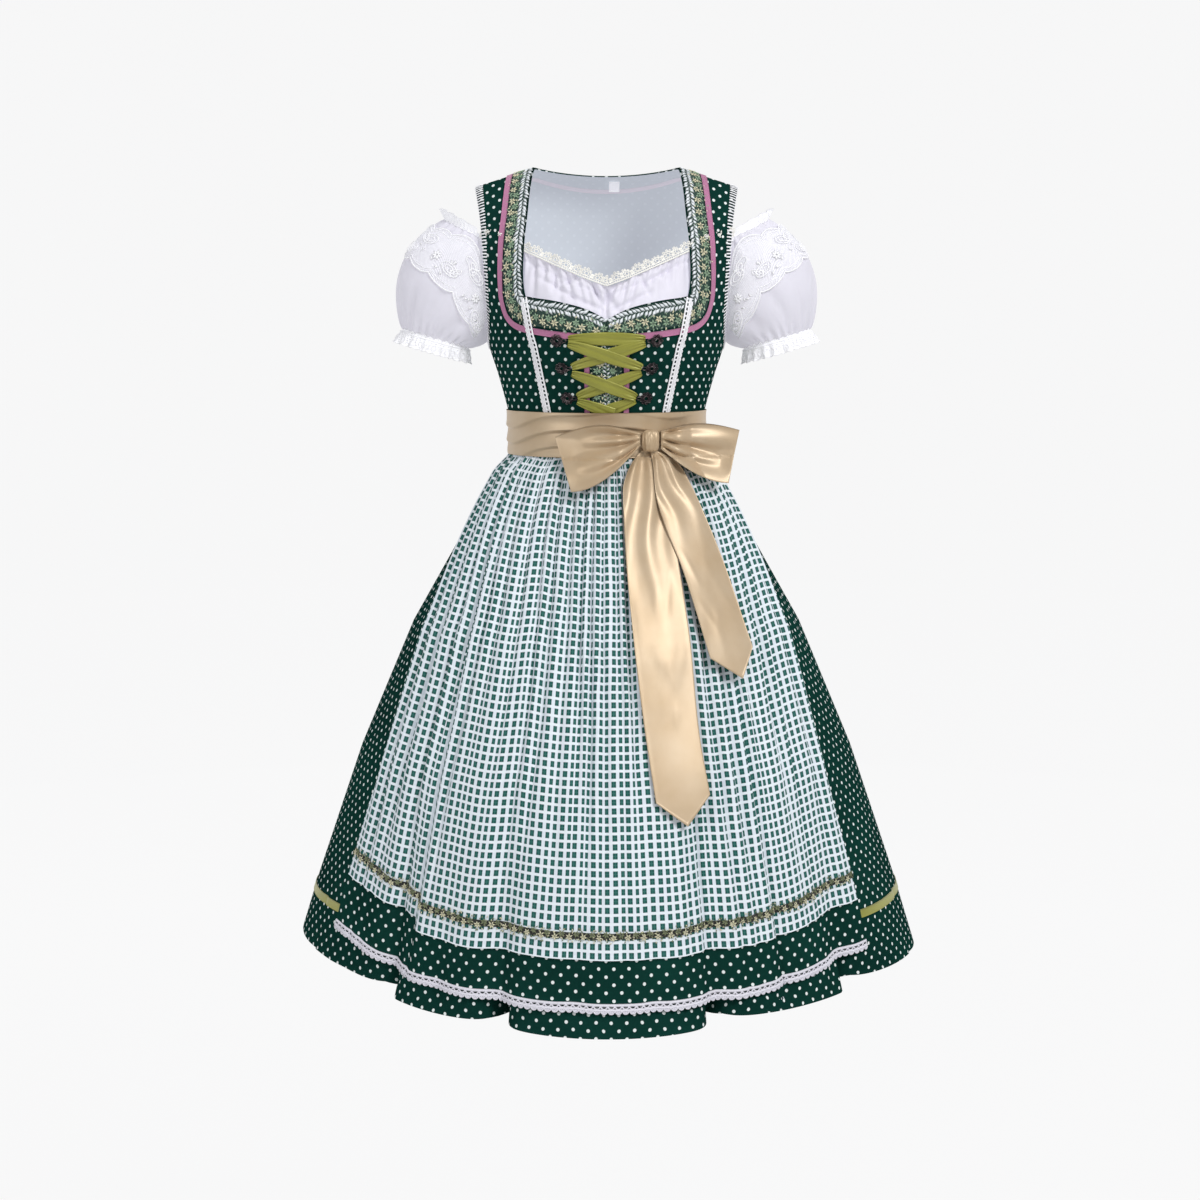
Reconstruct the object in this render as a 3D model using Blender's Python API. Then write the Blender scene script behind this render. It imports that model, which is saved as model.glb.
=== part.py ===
"""A dirndl: laced bodice with a gathered skirt, a puff-sleeved blouse inside it, and an apron whose satin
sash is tied in a bow. The garment keeps its worn, hollow form with no wearer.

Metres, +Z up. The front faces -Y and the wearer's left is +X. The origin lies between the two shoulder
seams, at the height of their neck ends. Angles round the body run from centre front towards +X.
"""

import math

import bmesh
import bpy
import numpy as np
from mathutils import Vector

MM = 0.001

# Cloth and gaps
SEAM_GAP = 0.3 * MM          # between pieces that are sewn together
BODICE_CLOTH = 1.6 * MM
BLOUSE_CLOTH = 1.2 * MM
SKIRT_CLOTH = 2.2 * MM
APRON_CLOTH = 1.6 * MM
SATIN = 1.2 * MM
TRIM = 1.0 * MM
TRIM_LIFT = 0.7 * MM         # underside of a trim above the cloth that carries it
BLOUSE_LIFT = -2.8 * MM      # outer face of the blouse inside the bodice

# Torso: level sections of the worn bodice, from the shoulder seam down to the waist seam
# height, half_width, front_depth, back_depth
TORSO = (
    (0.0000, 0.1800, 0.000, 0.000),
    (-0.0040, 0.1800, 0.022, 0.033),
    (-0.0120, 0.1790, 0.040, 0.056),
    (-0.0300, 0.1770, 0.064, 0.080),
    (-0.0600, 0.1740, 0.087, 0.096),
    (-0.1000, 0.1690, 0.107, 0.104),
    (-0.1500, 0.1600, 0.124, 0.104),
    (-0.1850, 0.1520, 0.130, 0.101),
    (-0.2160, 0.1460, 0.127, 0.098),
    (-0.2530, 0.1345, 0.114, 0.092),
    (-0.2900, 0.1245, 0.101, 0.087),
    (-0.3100, 0.1195, 0.096, 0.085),
    (-0.3250, 0.1175, 0.0935, 0.0835),
)
WAIST_Z = -0.325
NECK_X = 0.088               # neck end of the shoulder seam
SHOULDER_SLOPE = 0.315       # fall of the shoulder seam per metre outwards
SHOULDER_REACH = 0.100       # height over which that fall dies away
CUP_RISE, CUP_X, CUP_Z, CUP_SPAN = 0.010, 0.066, -0.183, 0.048
RIDGE_Z = -0.0000008         # just below the fold line at the shoulder, which leaves the seam gap

# Armholes: angle of the edge at each height; the side seam is at 90
# height, front_angle, back_angle
ARMHOLE = (
    (-0.3250, 90.0, 90.0),
    (-0.2135, 90.0, 90.0),
    (-0.2080, 84.0, 84.0),
    (-0.2000, 79.5, 79.5),
    (-0.1850, 74.5, 75.0),
    (-0.1600, 69.0, 70.5),
    (-0.1100, 64.0, 65.0),
    (-0.0600, 62.0, 62.5),
    (0.0000, 63.4, 63.4),
)
UNDERARM_Z = -0.2135
BLOUSE_UNDERARM_RISE = 0.0065
BLOUSE_MARGIN = 3.2          # degrees by which the blouse shows past the bodice's armhole edge

# Neckline edge and the line of the coloured ribbon outside it, from the shoulder to centre front
# edge_x, edge_z, ribbon_x, ribbon_z
NECKLINE = (
    (0.0880, 0.0000, 0.1180, 0.0000),
    (0.0895, -0.0040, 0.1185, -0.0040),
    (0.0910, -0.0130, 0.1195, -0.0130),
    (0.0930, -0.0300, 0.1208, -0.0300),
    (0.0950, -0.0540, 0.1228, -0.0540),
    (0.0990, -0.0940, 0.1265, -0.0940),
    (0.1005, -0.1290, 0.1275, -0.1300),
    (0.0996, -0.1460, 0.1268, -0.1530),
    (0.0976, -0.1570, 0.1205, -0.1790),
    (0.0850, -0.1595, 0.1055, -0.1935),
    (0.0680, -0.1620, 0.0750, -0.2000),
    (0.0507, -0.1655, 0.0500, -0.2030),
    (0.0257, -0.1725, 0.0250, -0.2050),
    (0.0000, -0.1850, 0.0000, -0.2060),
)
CORNER = 8                   # row of the neckline where it turns from the strap to the front
PRINCESS = ((-0.325, 0.0668), (-0.293, 0.0716), (-0.157, 0.0976))   # height, x of the front seam
# The same lines round the back of the neck: half their span, and their fall at centre back
BACK_EDGE, BACK_RIBBON = (0.0880, 0.0070), (0.1180, 0.0230)
RIBBON_WIDTH = 7.5 * MM
BRAID_EDGE = 1.5 * MM        # bare cloth between the neckline edge and the braid
BRAID_TO_RIBBON = 4.6 * MM
LACE_TAPE_WIDTH = 11.0 * MM

# Skirt: level sections of its outer crests
# height, half_width, front_depth, back_depth, fold_depth, gather_depth
SKIRT = (
    (-0.3253, 0.1172, 0.0932, 0.0832, 0.000, 0.0000),
    (-0.3500, 0.1185, 0.0945, 0.0850, 0.001, 0.0028),
    (-0.3690, 0.1355, 0.1100, 0.1030, 0.002, 0.0046),
    (-0.4060, 0.1565, 0.1290, 0.1240, 0.004, 0.0048),
    (-0.5600, 0.2440, 0.2040, 0.2020, 0.014, 0.0018),
    (-0.7200, 0.3120, 0.2640, 0.2620, 0.026, 0.0000),
    (-0.8910, 0.3710, 0.3160, 0.3140, 0.044, 0.0000),
    (-0.9870, 0.4010, 0.3440, 0.3420, 0.056, 0.0000),
)
FRONT_FLATTEN, FLATTEN_TOP_Z = 0.085, -0.406   # share by which the hem is drawn in at 45 to the front
SKIRT_COLUMNS = 112          # two for each gather at the waist
HEM_Z = -0.987
# How much higher the hem hangs than at centre front: angle, height
HEM_RISE = (
    (-180.0, 0.002), (-120.0, 0.012), (-90.0, 0.022), (-50.0, 0.020), (-25.0, 0.008), (0.0, 0.000), (25.0, 0.008),
    (50.0, 0.018), (90.0, 0.004), (180.0, 0.002),
)
# Valleys between the hanging folds: angle, depth as a share of the section's fold_depth
VALLEYS = (
    (-99.0, 0.80), (-73.0, 0.35), (-46.5, 1.00), (-20.0, 1.30), (20.0, 1.15), (54.0, 1.00), (79.0, 0.40),
    (104.0, 0.80), (126.0, 0.90), (148.0, 1.00), (170.0, 0.85), (193.0, 1.00), (216.0, 0.90), (239.0, 0.85),
)
FOLD_ROUNDNESS = 0.42        # below 1 gives broad crests and narrow valleys
HEM_RIBBON_Z, HEM_RIBBON_WIDTH = -0.903, 10.0 * MM

# Apron
# height, side_angle (the edge's angle on the wearer's right and left)
APRON_SIDES = (
    (-0.338, 87.0, 87.0),
    (-0.406, 82.0, 82.0),
    (-0.560, 68.5, 67.0),
    (-0.720, 66.0, 62.0),
    (-0.950, 65.5, 60.0),
)
APRON_ROWS = (-0.338, -0.350, -0.369, -0.406, -0.480, -0.560, -0.720)
# Level lines of the apron: height at centre front, then how far each climbs towards the right and left edges
APRON_BRAID_LINE = (-0.877, 0.034, 0.018)
CHECK_END_LINE = (-0.903, 0.030, 0.003)
BAND_END_LINE = (-0.949, 0.015, 0.007)
LACE_END_LINE = (-0.962, 0.015, 0.007)
APRON_BRAID_WIDTH = 10.0 * MM
APRON_CLEAR = 1.0 * MM
APRON_SPAN = 1.75            # skirt columns to each side that it bridges
APRON_COLUMNS = 56
APRON_GATHER = (
    (-0.338, 0.0000), (-0.350, 0.0014), (-0.369, 0.0040), (-0.406, 0.0050), (-0.560, 0.0035),
    (-0.720, 0.0015), (-0.900, 0.0000),
)                            # height, depth of the apron's own gathers

# Sash: height, half_width, front_depth, back_depth of its outer face
SASH = (
    (-0.2955, 0.1260, 0.1087, 0.0908),
    (-0.3100, 0.1244, 0.1030, 0.0890),
    (-0.3230, 0.1238, 0.1005, 0.0885),
    (-0.3370, 0.1240, 0.1004, 0.0888),
    (-0.3500, 0.1247, 0.1013, 0.0907),
)
SASH_COLUMNS = 36

# Bow: places in the front view
KNOT_X, KNOT_Z = 0.0530, -0.3290
KNOT_HALF = (0.0120, 0.0090, 0.0125)
# fold_top_x, fold_top_z, fold_low_x, fold_low_z, root_x, root_top_z, root_low_z, arch of the upper edge
LOOP_RIGHT = (-0.0640, -0.3254, -0.0437, -0.3870, 0.0405, -0.3195, -0.3350, 0.014)
LOOP_LEFT = (0.1630, -0.3180, 0.1490, -0.3810, 0.0655, -0.3175, -0.3390, 0.008)
LOOP_BULGE = 0.020
LOOP_CLEAR = 3.0 * MM
# Tails: share of the length, left_x, left_z, right_x, right_z of the two edges, then the point of the tip
TAIL_LONG = (
    (0.00, 0.0425, -0.3408, 0.0525, -0.3416),
    (0.05, 0.0290, -0.3570, 0.0640, -0.3570),
    (0.12, 0.0195, -0.3865, 0.0725, -0.3870),
    (0.30, 0.0222, -0.4560, 0.0830, -0.4560),
    (0.55, 0.0312, -0.5550, 0.0975, -0.5550),
    (0.80, 0.0440, -0.6560, 0.1068, -0.6560),
    (1.00, 0.0561, -0.7327, 0.1189, -0.7266),
)
TAIL_LONG_TIP, TAIL_LONG_CLEAR = (0.0929, -0.7596), 2.0 * MM
TAIL_SHORT = (
    (0.00, 0.0530, -0.3420, 0.0620, -0.3418),
    (0.10, 0.0560, -0.3600, 0.0860, -0.3560),
    (0.20, 0.0580, -0.3868, 0.1010, -0.3800),
    (0.38, 0.0690, -0.4260, 0.1180, -0.4170),
    (0.60, 0.0885, -0.4740, 0.1380, -0.4660),
    (1.00, 0.1211, -0.5768, 0.1733, -0.5689),
)
TAIL_SHORT_TIP, TAIL_SHORT_CLEAR = (0.1604, -0.6028), 7.3 * MM

# Lacing: hooks on each side, height and distance from centre front
HOOKS = ((-0.2090, 0.0585, 1.7 * MM), (-0.2420, 0.0535, 0.5 * MM), (-0.2780, 0.0470, 0.5 * MM))
HOOK_RADIUS, HOOK_HOLE, HOOK_TONGUE, HOOK_THICK = 8.0 * MM, 2.6 * MM, 12.5 * MM, 2.2 * MM
HOOK_PETALS = 6
LACING_WIDTH, LACING_END_WIDTH, LACING_CLOTH = 17.0 * MM, 9.0 * MM, 0.8 * MM
LIFT_BAR, LIFT_UNDER, LIFT_OVER = 2.0 * MM, 3.5 * MM, 5.0 * MM
# name, start_x, start_z, end_x, end_z, lift
LACING = (
    ("lacing_bar", -0.0450, -0.2070, 0.0450, -0.2070, LIFT_BAR),
    ("lacing_over_1", -0.0450, -0.2120, 0.0410, -0.2390, LIFT_OVER),
    ("lacing_under_1", 0.0450, -0.2120, -0.0410, -0.2390, LIFT_UNDER),
    ("lacing_over_2", -0.0405, -0.2460, 0.0345, -0.2750, LIFT_OVER),
    ("lacing_under_2", 0.0405, -0.2460, -0.0345, -0.2750, LIFT_UNDER),
    ("lacing_end_1", -0.0340, -0.2800, 0.0080, -0.2960, LIFT_OVER),
    ("lacing_end_2", 0.0340, -0.2800, -0.0080, -0.2960, LIFT_BAR),
)
PLACKET_RIBBON_X = 0.0235
PLACKET_BRAID_HALF = 0.0175
PLACKET_TOP_Z, PLACKET_END_Z = -0.2115, -0.2955

# Blouse: share of the way to the armhole, height of the front neckline, height of the back neckline
BLOUSE_TOP = (
    (0.00, -0.1480, -0.1700), (0.11, -0.1400, -0.1690), (0.32, -0.1230, -0.1620), (0.54, -0.1060, -0.1450),
    (0.70, -0.0960, -0.1250), (1.00, -0.0800, -0.0850),
)
BLOUSE_HEM_Z = -0.255
BLOUSE_GATHER = 1.6 * MM
LACE_HEIGHT = 12.0 * MM
# Sleeve: crown is the top of the shoulder edge, the cuff ring lies round its centre
CROWN = (0.2000, 0.0, -0.0620)
CUFF_CENTRE = (0.2120, 0.0, -0.2080)
CUFF_HALF, CUFF_DEPTH, CUFF_TILT = 0.0440, 0.0460, 16.0
PUFF, PUFF_UNDER = 0.0290, 0.0040
SLEEVE_COLUMNS, SLEEVE_ROWS = 24, 7
CUFF_RUFFLE, SHOULDER_RUFFLE = 18.0 * MM, 13.0 * MM

# colour, roughness, metallic
LOOKS = {
    "green_dotted_cloth": ((0.012, 0.090, 0.065), 0.45, 0.0),
    "check_cloth": ((0.52, 0.62, 0.66), 0.70, 0.0),
    "white_cotton": ((0.80, 0.78, 0.84), 0.80, 0.0),
    "sheer_cloth": ((0.84, 0.83, 0.87), 0.60, 0.0),
    "white_lace": ((0.88, 0.87, 0.88), 0.85, 0.0),
    "gold_satin": ((0.66, 0.47, 0.27), 0.28, 0.0),
    "olive_satin": ((0.22, 0.23, 0.03), 0.40, 0.0),
    "pink_ribbon": ((0.62, 0.22, 0.38), 0.75, 0.0),
    "floral_braid": ((0.42, 0.50, 0.36), 0.75, 0.0),
    "dark_metal": ((0.075, 0.050, 0.048), 0.45, 0.9),
}


def clear_scene():
    for obj in list(bpy.data.objects):
        bpy.data.objects.remove(obj)


def material(name):
    made = bpy.data.materials.get(name)
    if made:
        return made
    colour, roughness, metallic = LOOKS[name]
    made = bpy.data.materials.new(name)
    made.use_nodes = True
    shader = made.node_tree.nodes["Principled BSDF"]
    shader.inputs["Base Color"].default_value = (*colour, 1.0)
    shader.inputs["Roughness"].default_value = roughness
    shader.inputs["Metallic"].default_value = metallic
    made.diffuse_color = (*colour, 1.0)
    return made


# ---------------------------------------------------------------- curves through the tables

def smooth(rows, column, at):
    """A monotone cubic through one column of a table, read at heights or shares in its first column."""
    table = np.array(sorted(rows), float)
    x, y = table[:, 0], table[:, column]
    step, rise = np.diff(x), np.diff(y) / np.diff(x)
    slope = np.zeros(len(x))
    same_way = rise[1:] * rise[:-1] > 0
    first, second = 2 * step[1:] + step[:-1], step[1:] + 2 * step[:-1]
    steepness = np.where(same_way, rise[1:] * rise[:-1], 1.0)
    slope[1:-1] = np.where(same_way, (first + second) * steepness / (first * rise[1:] + second * rise[:-1] + 1e-30), 0)
    slope[0], slope[-1] = rise[0], rise[-1]
    at = np.clip(np.asarray(at, float), x[0], x[-1])
    k = np.clip(np.searchsorted(x, at, side="right") - 1, 0, len(x) - 2)
    t = (at - x[k]) / step[k]
    keep, go = 1 - t, t
    return (
        (1 + 2 * go) * keep**2 * y[k] + go * keep**2 * step[k] * slope[k]
        + go**2 * (3 - 2 * go) * y[k + 1] + go**2 * (go - 1) * step[k] * slope[k + 1]
    )


def straight(rows, column, at):
    """Straight lines through one column of a table."""
    table = np.array(sorted(rows), float)
    return np.interp(at, table[:, 0], table[:, column])


# ---------------------------------------------------------------- walls of cloth

def grid_normals(grid, closed):
    """Unit normals of a grid of points, rows by columns; the columns close on themselves on a tube."""
    along = np.gradient(grid, axis=0)
    if closed:
        across = (np.roll(grid, -1, axis=1) - np.roll(grid, 1, axis=1)) / 2
    else:
        across = np.gradient(grid, axis=1)
    normal = np.cross(across, along)
    return normal / np.maximum(np.linalg.norm(normal, axis=2, keepdims=True), 1e-12)


def wall(name, outer, inner, look, closed=False):
    """A closed body between two grids of points: a tube when closed, otherwise a panel with rims."""
    rows, columns = outer.shape[:2]
    points = np.concatenate([outer.reshape(-1, 3), inner.reshape(-1, 3)])
    centre = points.mean(axis=0)
    mesh = bpy.data.meshes.new(name)
    shape = bmesh.new()
    verts = [shape.verts.new(Vector(p - centre)) for p in points]
    front = [[verts[r * columns + c] for c in range(columns)] for r in range(rows)]
    back = [[verts[(rows + r) * columns + c] for c in range(columns)] for r in range(rows)]
    for a, b in [(c, (c + 1) % columns) for c in range(columns if closed else columns - 1)]:
        for r in range(rows - 1):
            shape.faces.new((front[r][a], front[r][b], front[r + 1][b], front[r + 1][a]))
            shape.faces.new((back[r][b], back[r][a], back[r + 1][a], back[r + 1][b]))
        shape.faces.new((front[0][b], front[0][a], back[0][a], back[0][b]))
        shape.faces.new((front[-1][a], front[-1][b], back[-1][b], back[-1][a]))
    if not closed:
        for r in range(rows - 1):
            shape.faces.new((front[r][0], front[r + 1][0], back[r + 1][0], back[r][0]))
            shape.faces.new((front[r + 1][-1], front[r][-1], back[r][-1], back[r + 1][-1]))
    if shape.calc_volume(signed=True) < 0:
        bmesh.ops.reverse_faces(shape, faces=shape.faces)
    shape.to_mesh(mesh)
    shape.free()
    return placed(name, mesh, centre, look)


def placed(name, mesh, centre, look):
    mesh.shade_smooth()
    mesh.set_sharp_from_angle(angle=math.radians(45))
    obj = bpy.data.objects.new(name, mesh)
    obj.location = centre
    obj.data.materials.append(material(look))
    obj.parent = bpy.data.objects["dirndl"]
    bpy.context.scene.collection.objects.link(obj)
    return obj


def thickened(name, grid, thickness, look, closed=False):
    """A wall behind a grid of points, by the grid's own normals; a negative thickness puts it in front."""
    return wall(name, grid, grid - grid_normals(grid, closed) * thickness, look, closed)


# ---------------------------------------------------------------- the torso's surface

def torso_size(column, z):
    """A column of the torso's sections, read so that the shoulder's fold is round."""
    rows = [(-math.sqrt(-row[0]), *row[1:]) for row in TORSO]
    return smooth(rows, column, -np.sqrt(np.maximum(-np.asarray(z, float), 0.0)))


def torso_surface(angle, z):
    """Points of the torso at angles round the body (radians) and heights."""
    z = np.minimum(z, 0.0)
    half = torso_size(1, z)
    x = half * np.sin(angle)
    facing = np.cos(angle)
    depth = np.where(facing > 0, torso_size(2, z), torso_size(3, z))
    cup = CUP_RISE * np.exp(-(((np.abs(x) - CUP_X) / CUP_SPAN) ** 2) - ((z - CUP_Z) / CUP_SPAN) ** 2)
    y = -depth * facing - cup * np.clip(facing, 0, 1)
    fall = SHOULDER_SLOPE * np.maximum(np.abs(x) - NECK_X, 0) * np.clip(1 + z / SHOULDER_REACH, 0, 1)
    return np.stack(np.broadcast_arrays(x, y, z - fall), axis=-1)


def on_torso(angle, z, lift=0.0):
    """The torso's points moved out along its normals by lift."""
    angle, z, lift = np.broadcast_arrays(np.asarray(angle, float), np.asarray(z, float), np.asarray(lift, float))
    turn, drop = 0.01, 0.0006
    across = torso_surface(angle + turn, z) - torso_surface(angle - turn, z)
    upwards = torso_surface(angle, np.minimum(z + drop, 0)) - torso_surface(angle, z - drop)
    normal = np.cross(across, upwards)
    normal /= np.maximum(np.linalg.norm(normal, axis=-1, keepdims=True), 1e-12)
    return torso_surface(angle, z) + normal * lift[..., None]


def angle_at(x, z):
    """The angle on the front of the torso of a point seen at x and z."""
    return np.arcsin(np.clip(np.asarray(x) / torso_size(1, z), -0.999, 0.999))


def armhole_angle(z, column):
    return np.radians(smooth(ARMHOLE, column, z))


def strap_inner_x(z):
    """x of the neckline edge down the strap, and of the princess seam below its corner."""
    rows = [(edge_z, edge_x) for edge_x, edge_z, _, _ in NECKLINE[: CORNER + 1]] + list(PRINCESS[:2])
    return smooth(rows, 1, z)


def neckline_z(share):
    """Height of the neckline's front stretch, at a share of the way from centre front to its corner."""
    rows = [(edge_x / NECKLINE[CORNER][0], edge_z) for edge_x, edge_z, _, _ in NECKLINE[CORNER:]]
    return smooth(rows, 1, share)


def body_wall(name, angle, z, cloth, look, lift=0.0):
    """A panel on the torso: its outer face at lift and its inner face a cloth's thickness inside."""
    return wall(name, on_torso(angle, z, lift), on_torso(angle, z, lift - cloth), look)


# ---------------------------------------------------------------- bodice

def make_bodice():
    heights = np.array([
        WAIST_Z + SEAM_GAP / 2, -0.298, -0.270, -0.242, UNDERARM_Z, -0.205, -0.192, -0.172, -0.147, -0.118, -0.088,
        -0.058, -0.032, -0.014, -0.004, RIDGE_Z,
    ])
    for side, sign in (("right", -1), ("left", 1)):
        share, across = np.meshgrid(np.linspace(0, 1, 9), np.linspace(0, 1, 7), indexing="ij")
        low = WAIST_Z + SEAM_GAP / 2
        z = low + share * (neckline_z(across) - low)
        x = SEAM_GAP / 2 + across * (smooth(PRINCESS, 1, z) - SEAM_GAP)
        body_wall(f"bodice_centre_{side}", sign * angle_at(x, z), z, BODICE_CLOTH, "green_dotted_cloth")

        z, across = np.meshgrid(heights, np.linspace(0, 1, 7), indexing="ij")
        inner = angle_at(strap_inner_x(z) + SEAM_GAP / 2, z)
        outer = armhole_angle(z, 1) - SEAM_GAP / 2 / torso_size(1, z)
        body_wall(
            f"bodice_side_{side}", sign * (inner + across * (outer - inner)), z, BODICE_CLOTH, "green_dotted_cloth"
        )

    z, across = np.meshgrid(heights, np.linspace(-1, 1, 15), indexing="ij")
    angle = math.pi - across * (armhole_angle(z, 2) - SEAM_GAP / 2 / torso_size(1, z))
    inside_neck = np.clip(1 - (torso_size(1, z) * np.sin(angle) / NECK_X) ** 2, 0, 1)
    dip = BACK_EDGE[1] * inside_neck * np.clip(1 + z / 0.03, 0, 1)
    body_wall("bodice_back", angle, z - dip, BODICE_CLOTH, "green_dotted_cloth")


def make_label():
    z, x = np.meshgrid(np.array([-0.024, -0.0165, -0.0095]), np.array([0.0035, 0.0170]), indexing="ij")
    body_wall("neck_label", math.pi - angle_at(x, z), z, 0.6 * MM, "white_cotton", lift=-BODICE_CLOTH - 2.0 * MM)


# ---------------------------------------------------------------- trims on the bodice

def neckline_paths(count):
    """The neckline's edge and the ribbon's line at matching stations, each a list of x and z."""
    station = np.linspace(0, 1, len(NECKLINE))
    rows = [(s, *row) for s, row in zip(station, NECKLINE)]
    at = np.linspace(0, 1, count)
    edge = np.stack([smooth(rows, 1, at), smooth(rows, 2, at)], axis=1)
    ribbon = np.stack([smooth(rows, 3, at), smooth(rows, 4, at)], axis=1)
    return edge, ribbon


def sideways(path):
    """Unit vectors square to a path of x and z points."""
    along = np.gradient(path, axis=0)
    along /= np.linalg.norm(along, axis=1, keepdims=True)
    return np.stack([-along[:, 1], along[:, 0]], axis=1)


def front_strip(name, lines, lift, cloth, look, mirror=1):
    """A strip on the front of the torso between or through several lines of x and z points."""
    lines = np.array(lines)
    x, z = lines[..., 0], np.minimum(lines[..., 1], RIDGE_Z)
    body_wall(name, mirror * angle_at(x, z), z, cloth, look, lift=lift + cloth)


def make_neck_trims():
    edge, ribbon = neckline_paths(2 * len(NECKLINE) - 1)
    out = sideways(ribbon)
    toward_neck = (edge - ribbon) / np.linalg.norm(edge - ribbon, axis=1, keepdims=True)
    braid_outer = ribbon + toward_neck * BRAID_TO_RIBBON
    braid_inner = edge - toward_neck * BRAID_EDGE
    braid_inner[-1, 0] = braid_outer[-1, 0] = SEAM_GAP
    for side, sign in (("right", -1), ("left", 1)):
        front_strip(
            f"neck_braid_{side}", [braid_inner, (braid_inner + braid_outer) / 2, braid_outer],
            TRIM_LIFT, TRIM, "floral_braid", sign,
        )
    half = RIBBON_WIDTH / 2 * out
    sides = [np.concatenate([(ribbon + s * half) * (-1, 1), (ribbon + s * half)[-2::-1]]) for s in (-1, 1)]
    front_strip("neck_ribbon", sides, TRIM_LIFT, 0.7 * MM, "pink_ribbon")


def make_back_neck_trims():
    """The braid and the ribbon carried on round the back of the neck, from seam to seam."""
    turn = np.linspace(-math.pi / 2, math.pi / 2, 19)

    def strip(name, shares, cloth, look):
        share = np.array(shares)[:, None]
        x = (BACK_EDGE[0] + share * (BACK_RIBBON[0] - BACK_EDGE[0])) * np.sin(turn)
        fall = (math.sqrt(BACK_EDGE[1]) * (1 - share) + math.sqrt(BACK_RIBBON[1]) * share) * np.cos(turn)
        z = np.minimum(-fall**2, RIDGE_Z)
        body_wall(name, math.pi - angle_at(x, z), z, cloth, look, lift=TRIM_LIFT + cloth)

    strip("neck_braid_back", (0.05, 0.32, 0.58, 0.84), TRIM, "floral_braid")
    strip("neck_ribbon_back", (0.875, 1.125), 0.7 * MM, "pink_ribbon")


def make_lace_tapes():
    """The two lace tapes down the princess seams. They cross over the neck trims at their upper ends."""
    z = np.linspace(-0.2955, -0.1600, 13)
    x = straight(PRINCESS, 1, z)
    over_trims = np.clip((z + 0.215) / 0.010, 0, 1)
    lift = TRIM_LIFT + over_trims * 1.5 * MM
    for side, sign in (("right", -1), ("left", 1)):
        lines = [np.stack([x + s * LACE_TAPE_WIDTH / 2, z], axis=1) for s in (-1, 1)]
        front_strip(f"lace_tape_{side}", lines, lift, TRIM, "white_lace", sign)


def make_placket():
    z = np.linspace(PLACKET_END_Z, PLACKET_TOP_Z, 7)
    for side, sign in (("right", -1), ("left", 1)):
        lines = [np.stack([np.full(7, PLACKET_RIBBON_X + s * 3.2 * MM), z], axis=1) for s in (-1, 1)]
        front_strip(f"placket_ribbon_{side}", lines, TRIM_LIFT, 0.7 * MM, "pink_ribbon", sign)
    lines = [np.stack([np.full(7, x), z], axis=1) for x in (-PLACKET_BRAID_HALF, 0.0, PLACKET_BRAID_HALF)]
    front_strip("placket_braid", lines, TRIM_LIFT, 0.7 * MM, "floral_braid")


def make_hooks():
    """Cast flower-shaped hooks, each with a tongue towards centre front that the lacing runs round."""
    turn = np.linspace(0, 2 * math.pi, 2 * HOOK_PETALS, endpoint=False)
    petal = HOOK_RADIUS * (0.86 + 0.14 * np.cos(HOOK_PETALS * turn))
    petal[0] = HOOK_TONGUE
    rims = np.stack([petal, np.full_like(petal, HOOK_HOLE)])
    for number, (z, x, lift) in enumerate(HOOKS, 1):
        for side, sign in (("right", -1), ("left", 1)):
            ring_x = x - rims * np.cos(turn)
            ring_z = z + rims * np.sin(turn)
            wall(
                f"hook_{side}_{number}",
                on_torso(sign * angle_at(ring_x, ring_z), ring_z, lift + HOOK_THICK),
                on_torso(sign * angle_at(ring_x, ring_z), ring_z, lift),
                "dark_metal", closed=True,
            )


def make_lacing():
    share = np.linspace(0, 1, 9)
    for name, x0, z0, x1, z1, lift in LACING:
        path = np.stack([x0 + share * (x1 - x0), z0 + share * (z1 - z0)], axis=1)
        width = LACING_END_WIDTH + (LACING_WIDTH - LACING_END_WIDTH) * np.sin(math.pi * share) ** 0.5
        half = sideways(path) * width[:, None] / 2
        front_strip(name, [path - half, path + half], lift, LACING_CLOTH, "olive_satin")


# ---------------------------------------------------------------- blouse

def blouse_edge(z, column):
    """Angle of the blouse's armhole seam, a little past the edge of the bodice's armhole."""
    angle = smooth(ARMHOLE, column, z - BLOUSE_UNDERARM_RISE) + BLOUSE_MARGIN
    return np.radians(np.minimum(angle, 90.0))


def make_blouse_body():
    for name, column, count in (("blouse_front", 1, 25), ("blouse_back", 2, 13)):
        across = np.linspace(-1, 1, count)
        rows = np.linspace(0, 1, 6)
        top = smooth(BLOUSE_TOP, column, np.abs(across))
        z = BLOUSE_HEM_Z + rows[:, None] * (top - BLOUSE_HEM_Z)
        edge = blouse_edge(z, column) - SEAM_GAP / 2 / torso_size(1, z)
        angle = across * edge if name == "blouse_front" else math.pi - across * edge
        gather = BLOUSE_GATHER * (np.arange(count) % 2) * rows[:, None] ** 2
        lift = BLOUSE_LIFT - gather
        wall(name, on_torso(angle, z, lift), on_torso(angle, z, lift - BLOUSE_CLOTH), "white_cotton")


def make_neckline_lace():
    """The lace edging that stands on the blouse's front neckline."""
    across = np.linspace(-1, 1, 37)
    foot = smooth(BLOUSE_TOP, 1, np.abs(across)) + SEAM_GAP
    z = np.stack([foot, foot + LACE_HEIGHT])
    angle = across * (blouse_edge(foot, 1) - 0.002)
    ripple = 0.6 * MM * (np.arange(37) % 2) * np.array([[0.2], [1.0]])
    lift = BLOUSE_LIFT - ripple
    wall("neckline_lace", on_torso(angle, z, lift), on_torso(angle, z, lift - TRIM), "white_lace")


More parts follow.
